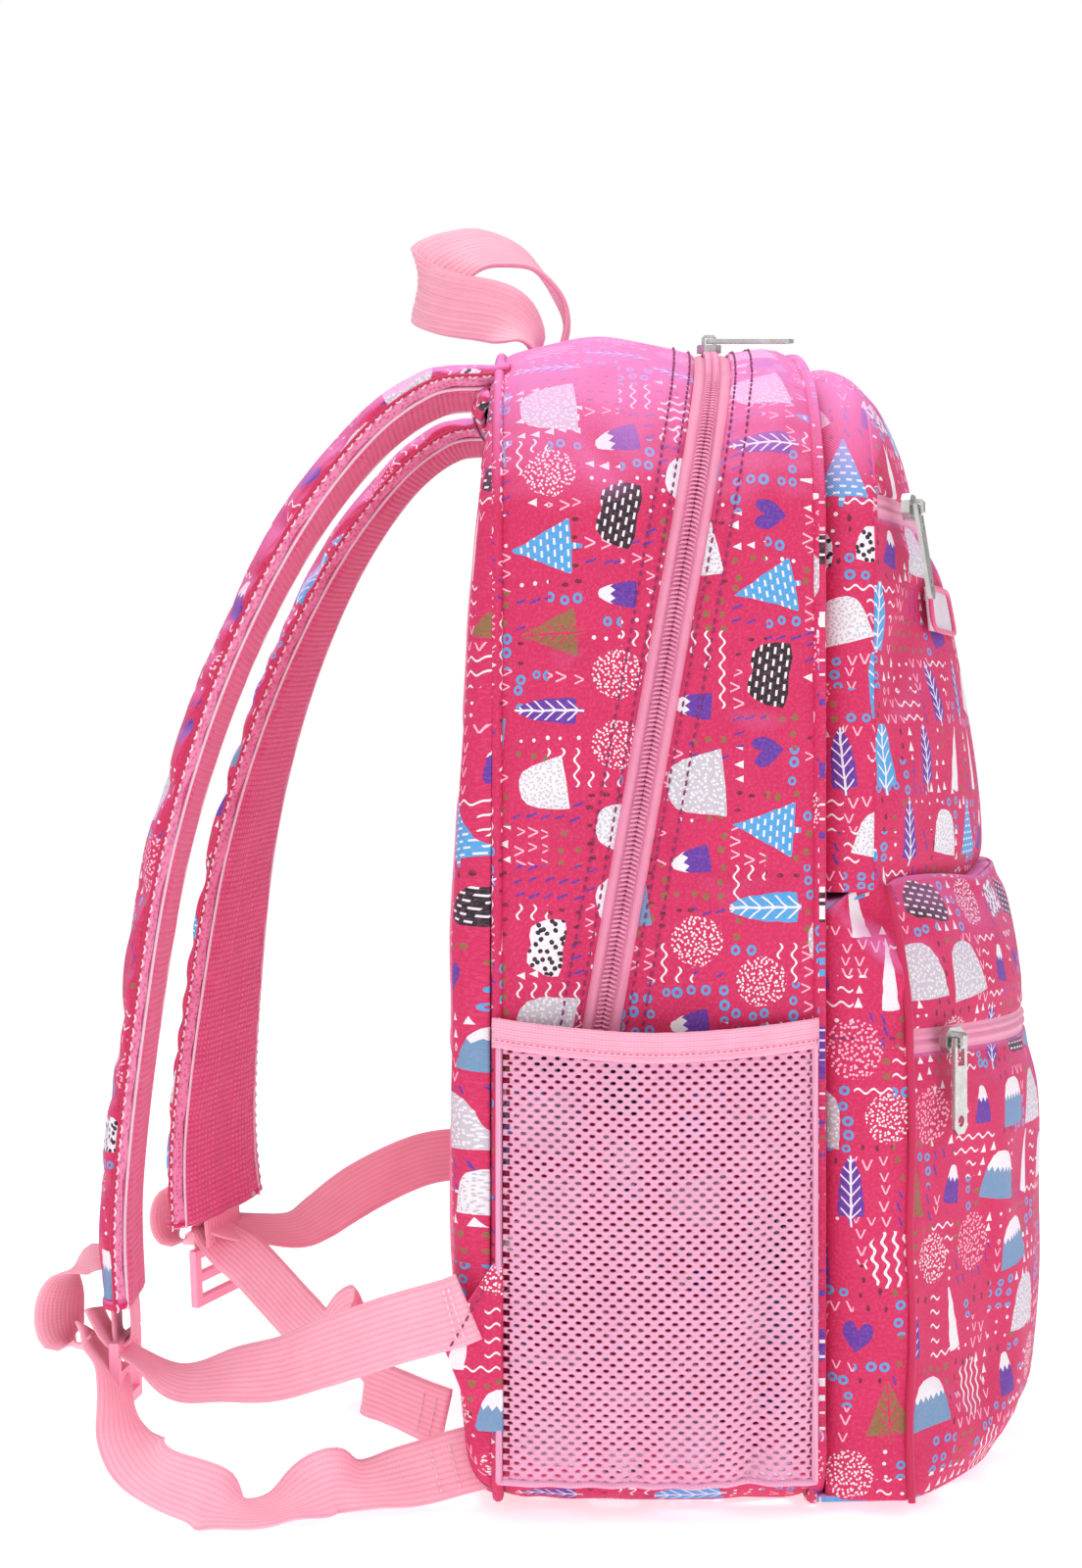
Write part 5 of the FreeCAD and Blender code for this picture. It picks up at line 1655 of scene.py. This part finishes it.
def area_light(name, place, target, size, power):
    data = bpy.data.lights.new(name, "AREA")
    data.shape = "DISK"
    data.size = size
    data.energy = power
    lamp = bpy.data.objects.new(name, data)
    lamp.location = place
    lamp.rotation_euler = (Vector(target) - Vector(place)).to_track_quat("-Z", "Y").to_euler()
    bpy.context.scene.collection.objects.link(lamp)


def pale_floor():
    """Wide disc just under the bag's swollen base, a little self-lit so that it stays white."""
    mesh = bpy.data.meshes.new("floor")
    radius, height = 60, -0.002
    turn = np.linspace(0, 2 * math.pi, 64, endpoint=False)
    ring = [(radius * math.cos(angle), radius * math.sin(angle), height) for angle in turn]
    mesh.from_pydata(ring, [], [list(range(len(ring)))])
    floor = bpy.data.objects.new("floor", mesh)
    bpy.context.scene.collection.objects.link(floor)
    g = Graph("floor")
    shade = g.cloud(g.cloth(True), 3.0, 2.0)
    g.skin.inputs["Emission Color"].default_value = (1.0, 1.0, 1.0, 1.0)
    g.skin.inputs["Emission Strength"].default_value = 0.6
    pale = g.mix(shade, srgb(252, 252, 252), srgb(247, 247, 248))
    mesh.materials.append(g.finish(pale, 0.9, shade, 0.00001))


def white_world():
    """White surroundings: full white to the camera, dimmer as a light."""
    world = bpy.data.worlds.new("studio")
    world.use_nodes = True
    tree = world.node_tree
    back = tree.nodes["Background"]
    back.inputs["Color"].default_value = (1.0, 1.0, 1.0, 1.0)
    ray = tree.nodes.new("ShaderNodeLightPath")
    strength = tree.nodes.new("ShaderNodeMapRange")
    strength.inputs["To Min"].default_value = 0.45
    strength.inputs["To Max"].default_value = 1.0
    tree.links.new(ray.outputs["Is Camera Ray"], strength.inputs["Value"])
    tree.links.new(strength.outputs["Result"], back.inputs["Strength"])
    bpy.context.scene.world = world


def side_camera():
    """Level camera square to the wearer's left side."""
    data = bpy.data.cameras.new("camera")
    data.lens = 56.4
    data.sensor_width = 36
    data.clip_start = 0.01
    camera = bpy.data.objects.new("camera", data)
    camera.location = (-0.995, 0.040, 0.254)
    camera.rotation_euler = Vector((1.0, 0.0, 0.0)).to_track_quat("-Z", "Y").to_euler()
    bpy.context.scene.collection.objects.link(camera)
    bpy.context.scene.camera = camera


def stage():
    pale_floor()
    white_world()
    middle = (0.0, 0.0, 0.22)
    area_light("key", (-1.5, -0.9, 1.5), middle, 1.4, 10)
    area_light("top", (-0.1, 0.2, 2.0), middle, 1.0, 20)
    area_light("fill", (-1.4, 1.3, 0.7), middle, 1.4, 3)
    side_camera()
    bpy.context.scene.view_settings.view_transform = "Standard"


main_compartment()
upper_pocket()
label_patch()
lower_pocket()
mesh_pockets()
back_panel()
cushion()
yoke()
for strap_name in SIDES:
    strap(strap_name)
    strap_loop(strap_name)
left_webbing()
right_webbing()
tabs()
grab_handle()
dress()
stage()
